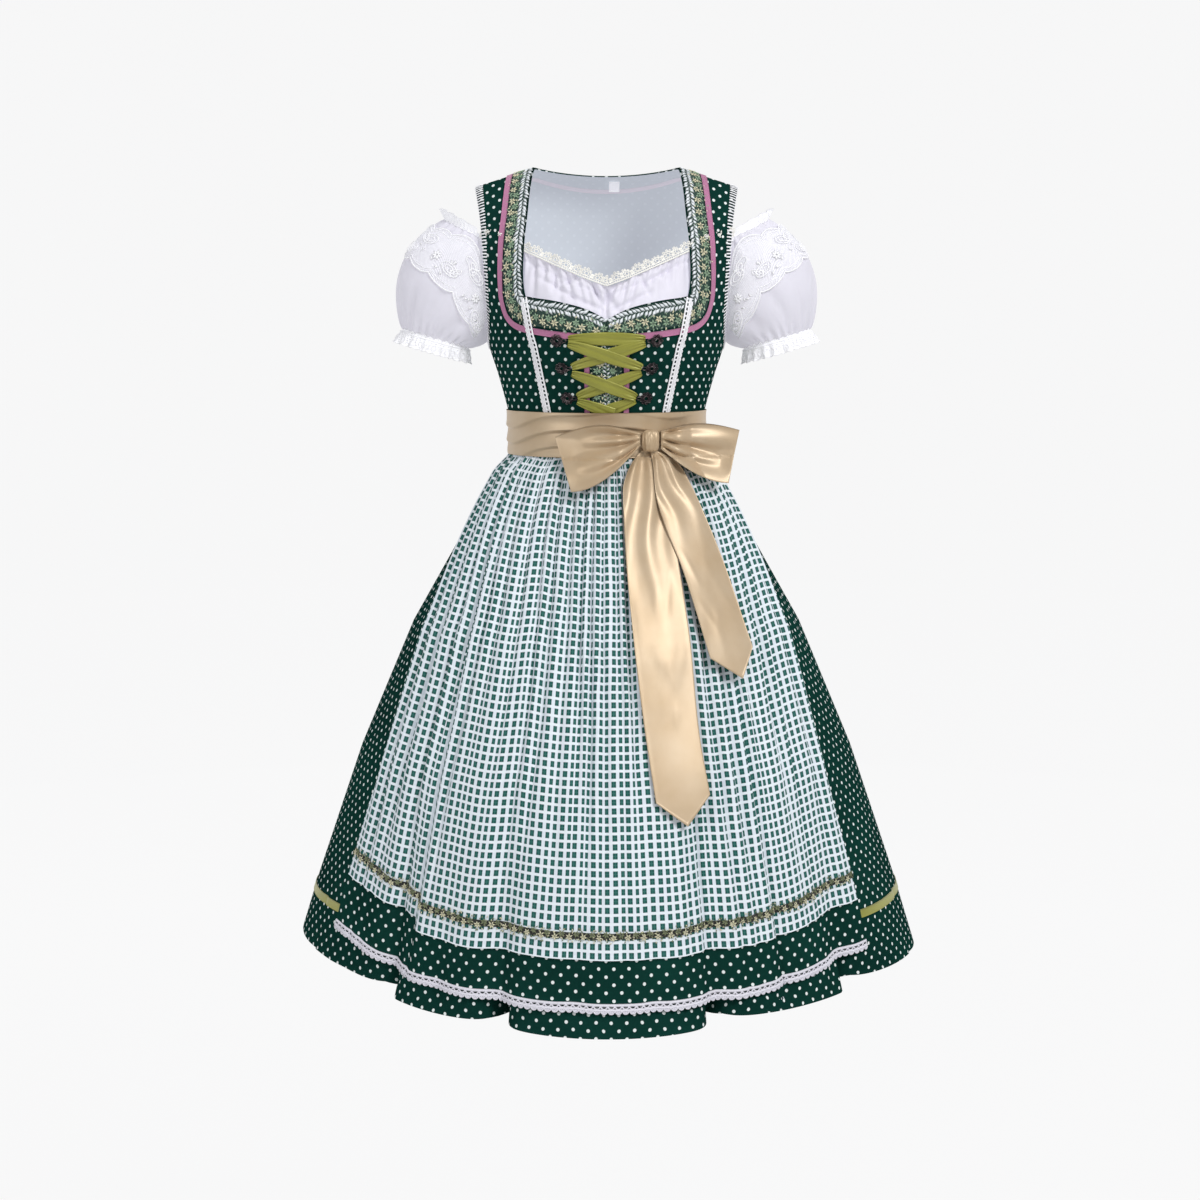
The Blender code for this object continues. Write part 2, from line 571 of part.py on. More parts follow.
def sleeve_root(turn):
    """The sleeve's upper edge on the wearer's left: free over the shoulder, then down the armhole seam."""
    size = np.abs(turn)
    back = turn < 0
    seam_share = np.clip((size - math.pi / 2) / (math.pi / 2), 0, 1)
    points = np.zeros((len(turn), 3))
    for behind in (False, True):
        column = 2 if behind else 1
        top = smooth(BLOUSE_TOP, column, 1.0)
        low = UNDERARM_Z + BLOUSE_UNDERARM_RISE
        z = top + (low - top) * np.sin(seam_share * math.pi / 2)
        angle = blouse_edge(z, column) + SEAM_GAP / 2 / torso_size(1, z)
        angle = math.pi - angle if behind else angle
        seam = on_torso(angle, z, BLOUSE_LIFT)
        arc = np.minimum(size, math.pi / 2)
        end = seam[np.argmin(np.abs(size - math.pi / 2) + 10 * (back != behind))]
        crown = np.array(CROWN)
        free = np.stack([
            end[0] + (crown[0] - end[0]) * np.cos(arc),
            end[1] * np.sin(arc),
            end[2] + (crown[2] - end[2]) * np.cos(arc),
        ], axis=1)
        chosen = np.where((size > math.pi / 2)[:, None], seam, free)
        points[back == behind] = chosen[back == behind]
    return points


def cuff_ring(turn, grow=0.0, drop=0.0):
    """The cuff's ring, or a wider and lower one for its ruffle."""
    tilt = math.radians(CUFF_TILT)
    outwards, down = np.array([math.cos(tilt), 0, math.sin(tilt)]), np.array([math.sin(tilt), 0, -math.cos(tilt)])
    forwards = np.array([0, -1, 0])
    return (
        np.array(CUFF_CENTRE) + drop * down
        + np.outer(np.cos(turn) * (CUFF_HALF + grow), outwards)
        + np.outer(np.sin(turn) * (CUFF_DEPTH + grow), forwards)
    )


def sleeve_grid(turn, rows):
    """Points of the left sleeve, from its upper edge to the cuff. Turn 0 is the outside and a quarter turn the front."""
    root, cuff = sleeve_root(turn), cuff_ring(turn)
    outwards = np.array([0.93, 0, 0.36])
    puff = PUFF_UNDER + (PUFF - PUFF_UNDER) * np.sqrt(0.5 + 0.5 * np.cos(turn))
    direction = np.outer(np.cos(turn), outwards) + np.outer(np.sin(turn), (0, -1, 0))
    share = np.linspace(0, 1, rows)[:, None, None]
    swell = np.sin(math.pi * share) ** 0.8
    return root + share * (cuff - root) + swell * (puff[:, None] * direction)


def make_sleeves():
    turn = np.linspace(-math.pi, math.pi, SLEEVE_COLUMNS, endpoint=False)
    grid = sleeve_grid(turn, SLEEVE_ROWS)
    fine = np.linspace(-math.pi, math.pi, 36, endpoint=False)
    wave = 2.2 * MM * (np.arange(36) % 2)
    ruffle = np.stack([
        cuff_ring(fine, drop=SEAM_GAP), cuff_ring(fine, 3 * MM + wave, CUFF_RUFFLE),
    ])
    top = np.linspace(-1.48, 1.48, 17)
    foot = sleeve_root(top) + (0, 0, SEAM_GAP)
    lean = np.stack([np.cos(top) * 0.004, -np.sin(top) * 0.0015, np.full(17, SHOULDER_RUFFLE)], axis=1)
    flutter = np.outer(0.0012 * (np.arange(17) % 2), (1, 0, 0))
    shoulder = np.stack([foot, foot + lean + flutter])
    for side, sign in (("right", -1), ("left", 1)):
        mirror = np.array([sign, 1, 1])
        thickened(f"sleeve_{side}", grid * mirror, sign * BLOUSE_CLOTH, "sheer_cloth", closed=True)
        thickened(f"cuff_ruffle_{side}", ruffle * mirror, sign * TRIM, "white_lace", closed=True)
        thickened(f"shoulder_ruffle_{side}", shoulder * mirror, -sign * TRIM, "white_lace")


# ---------------------------------------------------------------- skirt and apron

def fold_valley(degrees):
    """How deep a point lies between the hanging folds: 0 on a crest and up to 1 in a valley."""
    degrees = np.mod(np.asarray(degrees, float) - VALLEYS[0][0], 360) + VALLEYS[0][0]
    places = np.array([v[0] for v in VALLEYS] + [VALLEYS[0][0] + 360])
    depths = np.array([v[1] for v in VALLEYS] + [VALLEYS[0][1]])
    k = np.clip(np.searchsorted(places, degrees, side="right") - 1, 0, len(places) - 2)
    share = (degrees - places[k]) / (places[k + 1] - places[k])
    deep = depths[k] + (depths[k + 1] - depths[k]) * share
    return deep * (1 - np.sin(math.pi * share) ** FOLD_ROUNDNESS)


def skirt_share(column, z):
    """The skirt's radius at a whole column, as a share of the section's outline."""
    degrees = 360.0 * column / SKIRT_COLUMNS
    inwards = straight(SKIRT, 4, z) * fold_valley(degrees) + straight(SKIRT, 5, z) * (np.mod(column, 2))
    return 1 - inwards / straight(SKIRT, 1, z)


def outline(angle, z, share):
    """Points of a section at angles in radians, at a share of its outline."""
    angle, z, share = np.broadcast_arrays(angle, z, share)
    facing = np.cos(angle)
    flatten = FRONT_FLATTEN * np.clip((FLATTEN_TOP_Z - z) / (FLATTEN_TOP_Z - HEM_Z), 0, 1)
    share = share * (1 - np.where(facing > 0, flatten * np.sin(2 * angle) ** 2, 0))
    depth = np.where(facing > 0, straight(SKIRT, 2, z), straight(SKIRT, 3, z))
    return np.stack([share * straight(SKIRT, 1, z) * np.sin(angle), -share * depth * facing, z], axis=-1)


def skirt_point(column, z, lift=0.0):
    """A point on the skirt's faceted outer face, at a whole or part column."""
    column, z = np.broadcast_arrays(np.asarray(column, float), np.asarray(z, float))
    low = np.floor(column)
    part = (column - low)[..., None]
    ends = []
    for c in (low, low + 1):
        share = skirt_share(c, z) + lift / straight(SKIRT, 1, z)
        ends.append(outline(2 * math.pi * c / SKIRT_COLUMNS, z, share))
    return ends[0] * (1 - part) + ends[1] * part


def make_skirt():
    heights = np.array([row[0] for row in SKIRT])
    quarter = SKIRT_COLUMNS // 4
    for name, first in (("skirt_front", -quarter), ("skirt_back", quarter)):
        column, z = np.meshgrid(np.arange(first, first + 2 * quarter + 1), heights)
        z[-1] += np.interp(360.0 * column[-1] / SKIRT_COLUMNS, *zip(*HEM_RISE), period=360)
        outer, inner = skirt_point(column, z), skirt_point(column, z, -SKIRT_CLOTH)
        away = SEAM_GAP / 2 * (-1 if name == "skirt_front" else 1)
        for grid in (outer, inner):
            grid[:, [0, -1], 1] = away
        wall(name, outer, inner, "green_dotted_cloth")


def make_hem_ribbon():
    """The ribbon sewn round the skirt above its hem, from one side of the apron to the other."""
    start = straight(APRON_SIDES, 2, HEM_RIBBON_Z) + 0.4
    end = 360 - straight(APRON_SIDES, 1, HEM_RIBBON_Z) - 0.4
    first, last = (SKIRT_COLUMNS * degrees / 360 for degrees in (start, end))
    whole = np.arange(math.ceil(first), math.floor(last) + 1)
    column, z = np.meshgrid(
        np.concatenate([[first], whole, [last]]),
        HEM_RIBBON_Z + np.array([-0.5, 0.5]) * HEM_RIBBON_WIDTH,
    )
    wall("hem_ribbon", skirt_point(column, z, 2 * MM), skirt_point(column, z, 0.9 * MM), "olive_satin")


def apron_share(degrees, z):
    """The apron's inner radius as a share of the section: it spans the skirt's narrow valleys."""
    window = np.arange(-APRON_SPAN, APRON_SPAN + 0.1, 0.25)
    column = degrees * SKIRT_COLUMNS / 360
    shares = []
    for w in window:
        low = np.floor(column + w)
        part = column + w - low
        shares.append(skirt_share(low, z) * (1 - part) + skirt_share(low + 1, z) * part)
    return np.max(shares, axis=0) + APRON_CLEAR / straight(SKIRT, 1, z)


def apron_points(across, z, lift=0.0):
    """Points of the apron at shares from -1 to 1 of its width. Lift 0 is its inner face."""
    side = np.where(across < 0, straight(APRON_SIDES, 1, z), straight(APRON_SIDES, 2, z))
    degrees = across * side
    column = np.round((across + 1) / 2 * APRON_COLUMNS)
    gather = straight(APRON_GATHER, 1, z) * (1 - np.mod(column, 2))
    share = apron_share(degrees, z) + (gather + lift) / straight(SKIRT, 1, z)
    return outline(np.radians(degrees), z, share)


def apron_line(across, line):
    """Heights along one of the apron's level lines."""
    centre, rise_right, rise_left = line
    return centre + np.where(across < 0, rise_right, rise_left) * across**2


def apron_wall(name, across, z, look):
    wall(name, apron_points(across, z, APRON_CLOTH), apron_points(across, z), look)


def along_columns(grid, heights, z):
    """Points at height z on each column of a grid, so that what is sewn on lies on the same facets."""
    return np.stack([
        [np.interp(z[c], heights[::-1, c], grid[::-1, c, k]) for k in range(3)] for c in range(grid.shape[1])
    ])


def make_apron():
    across = np.linspace(-1, 1, APRON_COLUMNS + 1)
    check_end, band_end = apron_line(across, CHECK_END_LINE), apron_line(across, BAND_END_LINE)
    z = np.array([np.full_like(across, level) for level in APRON_ROWS] + [check_end + SEAM_GAP / 2])
    apron_wall("apron_check", np.broadcast_to(across, z.shape), z, "check_cloth")
    outer = apron_points(np.broadcast_to(across, z.shape), z, APRON_CLOTH)

    pair = np.stack([across, across])
    apron_wall("apron_band", pair, np.stack([check_end - SEAM_GAP / 2, band_end + SEAM_GAP / 2]), "green_dotted_cloth")
    scallops = 2 * MM * (np.arange(len(across)) % 2)
    lace_end = apron_line(across, LACE_END_LINE) - scallops
    apron_wall("apron_lace", pair, np.stack([band_end - SEAM_GAP / 2, lace_end]), "white_lace")

    middle = apron_line(across, APRON_BRAID_LINE)
    braid = np.stack([along_columns(outer, z, middle + s * APRON_BRAID_WIDTH / 2) for s in (1, -1)])
    away = braid * (1, 1, 0) / np.linalg.norm(braid * (1, 1, 0), axis=2, keepdims=True)
    wall("apron_braid", braid + away * (0.7 * MM + TRIM), braid + away * 0.7 * MM, "floral_braid")


# ---------------------------------------------------------------- sash and bow

def make_sash():
    angle = np.linspace(0, 2 * math.pi, SASH_COLUMNS, endpoint=False)
    heights = np.array([row[0] for row in SASH])
    around, z = np.meshgrid(angle, heights)
    facing = np.cos(around)

    def ring(thinner):
        half = smooth(SASH, 1, z) - thinner
        depth = np.where(facing > 0, smooth(SASH, 2, z), smooth(SASH, 3, z)) - thinner
        return np.stack([half * np.sin(around), -depth * facing, z], axis=-1)

    wall("sash", ring(0), ring(SATIN), "gold_satin", closed=True)


def front_cover(x, z, clear):
    """y of a point that hangs in front of the sash and the apron with some clearance."""
    sash_half, sash_depth = smooth(SASH, 1, z), smooth(SASH, 2, z)
    over = straight(APRON_GATHER, 1, z) + APRON_CLEAR + APRON_CLOTH + 1.2 * MM
    half = np.where(z > SASH[-1][0], sash_half, np.maximum(straight(SKIRT, 1, z) + over, sash_half))
    depth = np.where(z > SASH[-1][0], sash_depth, np.maximum(straight(SKIRT, 2, z) + over, sash_depth))
    turn = np.clip(np.abs(x) / half, 0, 0.82)
    return -depth * np.sqrt(1 - turn**2) - clear


def make_loop(name, sizes):
    """One loop of the bow: ribbon out to its fold and back behind itself."""
    top_x, top_z, low_x, low_z, root_x, root_top, root_low, arch = sizes
    out = np.array([0.0, 0.15, 0.35, 0.6, 0.85, 0.97])
    share = np.concatenate([out, out[::-1]])
    behind = np.repeat([0.0, 1.0], len(out))
    width = np.linspace(0, 1, 5)
    flare = np.sin(share * math.pi / 2)[:, None]
    x = root_x + (low_x + (top_x - low_x) * width - root_x) * share[:, None]
    z_root = root_low + (root_top - root_low) * width
    z = z_root + (low_z + (top_z - low_z) * width - z_root) * flare
    z = z + arch * width**2 * np.sin(math.pi * share[:, None])
    swell = LOOP_BULGE * np.sin(math.pi * np.clip(share, 0, 1)) ** 0.7 + 3 * MM
    clear = LOOP_CLEAR + (1 - behind) * swell
    y = front_cover(x, z, clear[:, None])
    # the grid's two open ends lie at the knot, one in front of the other
    thickened(name, np.stack([x, y, z], axis=-1), SATIN * (-1 if root_x > top_x else 1), "gold_satin")


def make_tail(name, rows, tip, clear, sections):
    share = np.linspace(0, 1, sections)
    width = np.linspace(0, 1, 5)
    left_x, left_z, right_x, right_z = (smooth(rows, k, share)[:, None] for k in (1, 2, 3, 4))
    x = left_x + (right_x - left_x) * width
    z = left_z + (right_z - left_z) * width
    point = np.array([0, 0.5, 1, 0.5, 0])
    middle = np.array([x[-1, 2], z[-1, 2]])
    reach = np.clip((share - 0.9) / 0.1, 0, 1)[:, None]
    x = x + reach * point * (tip[0] - middle[0])
    z = z + reach * point * (tip[1] - middle[1])
    crease = 2.5 * MM * np.sin(math.pi * width * 2) * (1 - share[:, None])
    y = front_cover(x, z, clear) - np.abs(crease)
    thickened(name, np.stack([x, y, z], axis=-1), SATIN, "gold_satin")


def make_knot():
    mesh = bpy.data.meshes.new("bow_knot")
    shape = bmesh.new()
    bmesh.ops.create_uvsphere(shape, u_segments=12, v_segments=8, radius=1.0)
    bmesh.ops.scale(shape, vec=Vector(KNOT_HALF), verts=shape.verts)
    shape.to_mesh(mesh)
    shape.free()
    y = float(front_cover(np.array(KNOT_X), np.array(KNOT_Z), KNOT_HALF[1] + 1.2 * MM))
    placed("bow_knot", mesh, (KNOT_X, y, KNOT_Z), "gold_satin")


def make_bow():
    make_knot()
    make_loop("bow_loop_right", LOOP_RIGHT)
    make_loop("bow_loop_left", LOOP_LEFT)
    make_tail("bow_tail_long", TAIL_LONG, TAIL_LONG_TIP, TAIL_LONG_CLEAR, 12)
    make_tail("bow_tail_short", TAIL_SHORT, TAIL_SHORT_TIP, TAIL_SHORT_CLEAR, 9)


def main():
    clear_scene()
    bpy.context.scene.collection.objects.link(bpy.data.objects.new("dirndl", None))
    make_bodice()
    make_label()
    make_neck_trims()
    make_back_neck_trims()
    make_lace_tapes()
    make_placket()
    make_hooks()
    make_lacing()
    make_blouse_body()
    make_neckline_lace()
    make_sleeves()
    make_skirt()
    make_hem_ribbon()
    make_apron()
    make_sash()
    make_bow()


main()
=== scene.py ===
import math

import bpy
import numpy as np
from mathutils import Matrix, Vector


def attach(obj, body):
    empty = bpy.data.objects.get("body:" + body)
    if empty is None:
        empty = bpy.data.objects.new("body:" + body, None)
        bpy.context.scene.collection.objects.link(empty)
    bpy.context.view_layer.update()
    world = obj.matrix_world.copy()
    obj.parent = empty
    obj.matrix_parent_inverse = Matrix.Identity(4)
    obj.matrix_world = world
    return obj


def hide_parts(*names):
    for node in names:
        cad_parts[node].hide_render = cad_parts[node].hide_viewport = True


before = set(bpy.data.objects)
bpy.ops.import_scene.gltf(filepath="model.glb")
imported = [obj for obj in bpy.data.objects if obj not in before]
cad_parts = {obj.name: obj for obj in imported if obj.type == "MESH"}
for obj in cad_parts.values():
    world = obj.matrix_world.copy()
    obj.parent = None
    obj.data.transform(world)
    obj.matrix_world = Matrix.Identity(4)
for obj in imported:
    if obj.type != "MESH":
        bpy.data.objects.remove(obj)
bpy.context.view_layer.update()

# Looks of the dirndl: thin cloth with its folds and creases, lace, braids, stitches and their finishes.
#
# Metres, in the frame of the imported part: +Z up, the front faces -Y, the wearer's left is +X. Angles round
# the body run from centre front towards +X. Each cloth's UV map, "cloth", holds metres along weft and warp.

MM = 0.001
THIN = 0.5 * MM              # thickness of the visible cloth

# ---------------------------------------------------------------- sizes of the part

# height, half_width, front_depth, back_depth
TORSO = (
    (0.0000, 0.1800, 0.000, 0.000), (-0.0040, 0.1800, 0.022, 0.033), (-0.0120, 0.1790, 0.040, 0.056),
    (-0.0300, 0.1770, 0.064, 0.080), (-0.0600, 0.1740, 0.087, 0.096), (-0.1000, 0.1690, 0.107, 0.104),
    (-0.1500, 0.1600, 0.124, 0.104), (-0.1850, 0.1520, 0.130, 0.101), (-0.2160, 0.1460, 0.127, 0.098),
    (-0.2530, 0.1345, 0.114, 0.092), (-0.2900, 0.1245, 0.101, 0.087), (-0.3100, 0.1195, 0.096, 0.085),
    (-0.3250, 0.1175, 0.0935, 0.0835),
)
SIDES = (("right", -1), ("left", 1))
WAIST_Z = -0.325
NECK_X, SHOULDER_SLOPE, SHOULDER_REACH = 0.088, 0.315, 0.100
CUP_RISE, CUP_X, CUP_Z, CUP_SPAN = 0.010, 0.066, -0.183, 0.048
# height, front_angle, back_angle
ARMHOLE = (
    (-0.3250, 90.0, 90.0), (-0.2135, 90.0, 90.0), (-0.2080, 84.0, 84.0), (-0.2000, 79.5, 79.5),
    (-0.1850, 74.5, 75.0), (-0.1600, 69.0, 70.5), (-0.1100, 64.0, 65.0), (-0.0600, 62.0, 62.5),
    (0.0000, 63.4, 63.4),
)
UNDERARM_Z, BLOUSE_UNDERARM_RISE, BLOUSE_MARGIN = -0.2135, 0.0065, 3.2
# edge_x, edge_z, ribbon_x, ribbon_z
NECKLINE = (
    (0.0880, 0.0000, 0.1180, 0.0000), (0.0895, -0.0040, 0.1185, -0.0040),
    (0.0910, -0.0130, 0.1195, -0.0130), (0.0930, -0.0300, 0.1208, -0.0300),
    (0.0950, -0.0540, 0.1228, -0.0540), (0.0990, -0.0940, 0.1265, -0.0940),
    (0.1005, -0.1290, 0.1275, -0.1300), (0.0996, -0.1460, 0.1268, -0.1530),
    (0.0976, -0.1570, 0.1205, -0.1790), (0.0850, -0.1595, 0.1055, -0.1935),
    (0.0680, -0.1620, 0.0750, -0.2000), (0.0507, -0.1655, 0.0500, -0.2030),
    (0.0257, -0.1725, 0.0250, -0.2050), (0.0000, -0.1850, 0.0000, -0.2060),
)
CORNER = 8                   # the row of the neckline's corner
# height, x of the seam between the centre and side panels
PRINCESS = ((-0.325, 0.0668), (-0.293, 0.0716), (-0.157, 0.0976))
# half width and dip of the back neck's edge and of its ribbon
BACK_EDGE, BACK_RIBBON = (0.0880, 0.0070), (0.1180, 0.0230)
RIBBON_WIDTH = 7.5 * MM
# height, half_width, front_depth, back_depth, fold_depth, gather_depth
SKIRT = (
    (-0.3253, 0.1172, 0.0932, 0.0832, 0.000, 0.0000), (-0.3500, 0.1185, 0.0945, 0.0850, 0.001, 0.0028),
    (-0.3690, 0.1355, 0.1100, 0.1030, 0.002, 0.0046), (-0.4060, 0.1565, 0.1290, 0.1240, 0.004, 0.0048),
    (-0.5600, 0.2440, 0.2040, 0.2020, 0.014, 0.0018), (-0.7200, 0.3120, 0.2640, 0.2620, 0.026, 0.0000),
    (-0.8910, 0.3710, 0.3160, 0.3140, 0.044, 0.0000), (-0.9870, 0.4010, 0.3440, 0.3420, 0.056, 0.0000),
)
FRONT_FLATTEN, FLATTEN_TOP_Z = 0.085, -0.406
HEM_Z = -0.987
# degrees round the body, rise of the hem there
HEM_RISE = (
    (-180.0, 0.002), (-120.0, 0.014), (-90.0, 0.029), (-70.0, 0.023), (-49.0, 0.016), (-44.5, 0.002),
    (-22.0, 0.004), (-18.0, 0.000), (0.0, 0.000), (18.5, 0.000), (22.0, 0.008), (36.0, 0.004),
    (52.0, 0.000), (56.0, 0.014), (90.0, 0.004), (180.0, 0.002),
)
# degrees round the body of each valley between two large folds, share of the fold depth there
VALLEYS = (
    (-99.0, 0.80), (-73.0, 0.06), (-46.5, 1.00), (-20.0, 1.30), (20.0, 1.15), (54.0, 1.00), (79.0, 0.06),
    (104.0, 0.80), (126.0, 0.90), (148.0, 1.00), (170.0, 0.85), (193.0, 1.00), (216.0, 0.90), (239.0, 0.85),
)
FOLD_ROUNDNESS = 0.60        # below 1 gives broad crests and narrow valleys
FOLD_EDGE = 0.035            # share of a fold that its edge takes
FOLD_TURN = 0.65             # how much sharper the outer edge of a fold is than its inner one
HEM_RIBBON_Z, HEM_RIBBON_WIDTH = -0.903, 10.0 * MM
# height, degrees from centre front to the apron's right and left edges
APRON_SIDES = (
    (-0.338, 87.0, 87.0), (-0.406, 82.0, 82.0), (-0.560, 68.5, 67.0), (-0.720, 66.0, 62.0),
    (-0.950, 65.5, 60.0),
)
APRON_TOP_Z = -0.338
# height at the centre, rise of the right and left ends, more rise of their corners, step at the knife fold
APRON_BRAID_LINE = (-0.877, 0.034, 0.018, 0.010, 0.005, 0.0070)
CHECK_END_LINE = (-0.903, 0.030, 0.003, 0.007, 0.016, 0.0130)
BAND_END_LINE = (-0.949, 0.015, 0.007, 0.019, 0.010, 0.0020)
APRON_CLEAR, APRON_CLOTH = 1.0 * MM, 1.6 * MM
# height, how far the apron's gathers stand out there
APRON_GATHER = (
    (-0.338, 0.0000), (-0.350, 0.0014), (-0.369, 0.0040), (-0.406, 0.0050), (-0.560, 0.0035),
    (-0.720, 0.0015), (-0.900, 0.0000),
)
# height, half_width, front_depth, back_depth
SASH = (
    (-0.2955, 0.1260, 0.1087, 0.0908), (-0.3100, 0.1244, 0.1030, 0.0890), (-0.3230, 0.1238, 0.1005, 0.0885),
    (-0.3370, 0.1240, 0.1004, 0.0888), (-0.3500, 0.1247, 0.1013, 0.0907),
)
KNOT_X, KNOT_Z = 0.0530, -0.3290
KNOT_HALF = (0.0120, 0.0090, 0.0125)
# upper corner's x and z, lower corner's x and z, root's x, root's top and bottom, arch of the upper edge
LOOP_RIGHT = (-0.0640, -0.3254, -0.0437, -0.3870, 0.0405, -0.3195, -0.3350, 0.014)
LOOP_LEFT = (0.1630, -0.3180, 0.1490, -0.3810, 0.0655, -0.3175, -0.3390, 0.008)
LOOP_BULGE, LOOP_CLEAR, LOOP_TILT = 0.020, 3.0 * MM, 5.0 * MM
# share of the length, x and z of the tail's edge towards centre front and of its outer edge
TAIL_LONG = (
    (0.00, 0.0425, -0.3408, 0.0525, -0.3416), (0.05, 0.0290, -0.3570, 0.0640, -0.3570),
    (0.12, 0.0195, -0.3865, 0.0725, -0.3870), (0.30, 0.0222, -0.4560, 0.0830, -0.4560),
    (0.55, 0.0312, -0.5550, 0.0975, -0.5550), (0.80, 0.0440, -0.6560, 0.1068, -0.6560),
    (1.00, 0.0561, -0.7327, 0.1189, -0.7266),
)
TAIL_LONG_TIP, TAIL_LONG_CLEAR = (0.0929, -0.7596), 2.0 * MM
TAIL_SHORT = (
    (0.00, 0.0530, -0.3420, 0.0620, -0.3418), (0.10, 0.0560, -0.3600, 0.0860, -0.3560),
    (0.20, 0.0580, -0.3868, 0.1010, -0.3800), (0.38, 0.0690, -0.4260, 0.1180, -0.4170),
    (0.60, 0.0885, -0.4740, 0.1380, -0.4660), (1.00, 0.1211, -0.5768, 0.1733, -0.5689),
)
TAIL_SHORT_TIP, TAIL_SHORT_CLEAR = (0.1604, -0.6028), 7.3 * MM
# height, x, how far off the bodice
HOOKS = ((-0.2090, 0.0585, 1.7 * MM), (-0.2420, 0.0535, 0.5 * MM), (-0.2780, 0.0470, 0.5 * MM))
HOOK_TONGUE = 12.5 * MM
LACING_WIDTH = 17.0 * MM
LIFT_BAR, LIFT_UNDER, LIFT_OVER = 3.0 * MM, 4.0 * MM, 5.4 * MM
# node, x and z of its start and of its end, how far off the bodice
LACING = (
    ("lacing_bar", -0.0450, -0.2070, 0.0450, -0.2070, LIFT_BAR),
    ("lacing_over_1", -0.0450, -0.2120, 0.0410, -0.2390, LIFT_OVER),
    ("lacing_under_1", 0.0450, -0.2120, -0.0410, -0.2390, LIFT_UNDER),
    ("lacing_over_2", -0.0405, -0.2460, 0.0345, -0.2750, LIFT_OVER),
    ("lacing_under_2", 0.0405, -0.2460, -0.0345, -0.2750, LIFT_UNDER),
    ("lacing_end_1", -0.0340, -0.2800, 0.0080, -0.2960, LIFT_OVER),
    ("lacing_end_2", 0.0340, -0.2800, -0.0080, -0.2960, LIFT_BAR),
)
PLACKET_RIBBON_X, PLACKET_TOP_Z, PLACKET_END_Z = 0.0235, -0.2115, -0.2955
# share of the way to the armhole, height of the front's top edge and of the back's
BLOUSE_TOP = (
    (0.00, -0.1480, -0.1700), (0.11, -0.1400, -0.1690), (0.32, -0.1230, -0.1620), (0.54, -0.1060, -0.1450),
    (0.70, -0.0960, -0.1250), (1.00, -0.0800, -0.0850),
)
BLOUSE_HEM_Z, BLOUSE_LIFT = -0.255, -2.8 * MM
CROWN = (0.2000, 0.0, -0.0620)
CUFF_CENTRE = (0.2120, 0.0, -0.2080)
CUFF_HALF, CUFF_DEPTH, CUFF_TILT = 0.0440, 0.0460, 16.0
PUFF, PUFF_UNDER = 0.0290, 0.0040
CUFF_RUFFLE, SHOULDER_RUFFLE = 18.0 * MM, 13.0 * MM

# ---------------------------------------------------------------- sizes of the finishes

DOT_PITCH, DOT_RADIUS = 17.8 * MM, 1.95 * MM
BODICE_DOT_PITCH = 16.6 * MM
CHECK_PITCH = (9.9 * MM, 10.2 * MM)
CHECK_SQUARE = (5.6 * MM, 7.0 * MM)
CHECK_LINE = (0.7 * MM, 0.3 * MM)    # where a line across the check ends, and where it is full
DOT_BLUR, CHECK_BLUR = 0.25 * MM, 0.3 * MM
# pitch and relief of each weave and rib
PRINTED_WEAVE, COTTON_WEAVE, SHEER_WEAVE = (0.7 * MM, 0.06 * MM), (0.8 * MM, 0.08 * MM), (0.6 * MM, 0.08 * MM)
SATIN_RIB, RIBBON_RIB = (0.5 * MM, 0.012 * MM), (1.4 * MM, 0.25 * MM)


# ---------------------------------------------------------------- curves through the tables

def smooth(rows, column, at):
    """A monotone cubic through one column of a table, read at heights or shares in its first column."""
    table = np.array(sorted(rows), float)
    x, y = table[:, 0], table[:, column]
    step, rise = np.diff(x), np.diff(y) / np.diff(x)
    slope = np.zeros(len(x))
    same_way = rise[1:] * rise[:-1] > 0
    first, second = 2 * step[1:] + step[:-1], step[1:] + 2 * step[:-1]
    steepness = np.where(same_way, rise[1:] * rise[:-1], 1.0)
    blended = first * rise[1:] + second * rise[:-1] + 1e-30
    slope[1:-1] = np.where(same_way, (first + second) * steepness / blended, 0)
    slope[0], slope[-1] = rise[0], rise[-1]
    at = np.clip(np.asarray(at, float), x[0], x[-1])
    k = np.clip(np.searchsorted(x, at, side="right") - 1, 0, len(x) - 2)
    t = (at - x[k]) / step[k]
    keep, go = 1 - t, t
    return (
        (1 + 2 * go) * keep**2 * y[k] + go * keep**2 * step[k] * slope[k]
        + go**2 * (3 - 2 * go) * y[k + 1] + go**2 * (go - 1) * step[k] * slope[k + 1]
    )


def straight(rows, column, at):
    """Straight lines through one column of a table."""
    table = np.array(sorted(rows), float)
    return np.interp(at, table[:, 0], table[:, column])


def ease(value, low, high):
    """0 below low and 1 above high, with a smooth step between them."""
    t = np.clip((np.asarray(value, float) - low) / (high - low), 0, 1)
    return t * t * (3 - 2 * t)


def spread(*values):
    """Numbers and arrays brought to one shape."""
    return np.broadcast_arrays(*(np.asarray(value, float) for value in values))


def unit(vectors):
    """The vectors, each one metre long."""
    return vectors / np.maximum(np.linalg.norm(vectors, axis=-1, keepdims=True), 1e-12)


def troughs(rows, a, b):
    """Soft creases: rows of start_a, start_b, end_a, end_b, width, depth. Depth is positive outwards."""
    total = np.zeros(np.broadcast(a, b).shape)
    for a0, b0, a1, b1, width, depth in rows:
        da, db = a1 - a0, b1 - b0
        share = ((a - a0) * da + (b - b0) * db) / (da * da + db * db)
        near = np.clip(share, 0, 1)
        away = np.hypot(a - a0 - near * da, b - b0 - near * db)
        total = total + depth * np.exp(-((away / width) ** 2)) * (0.35 + 0.65 * np.sin(math.pi * near))
    return total


# ---------------------------------------------------------------- meshes

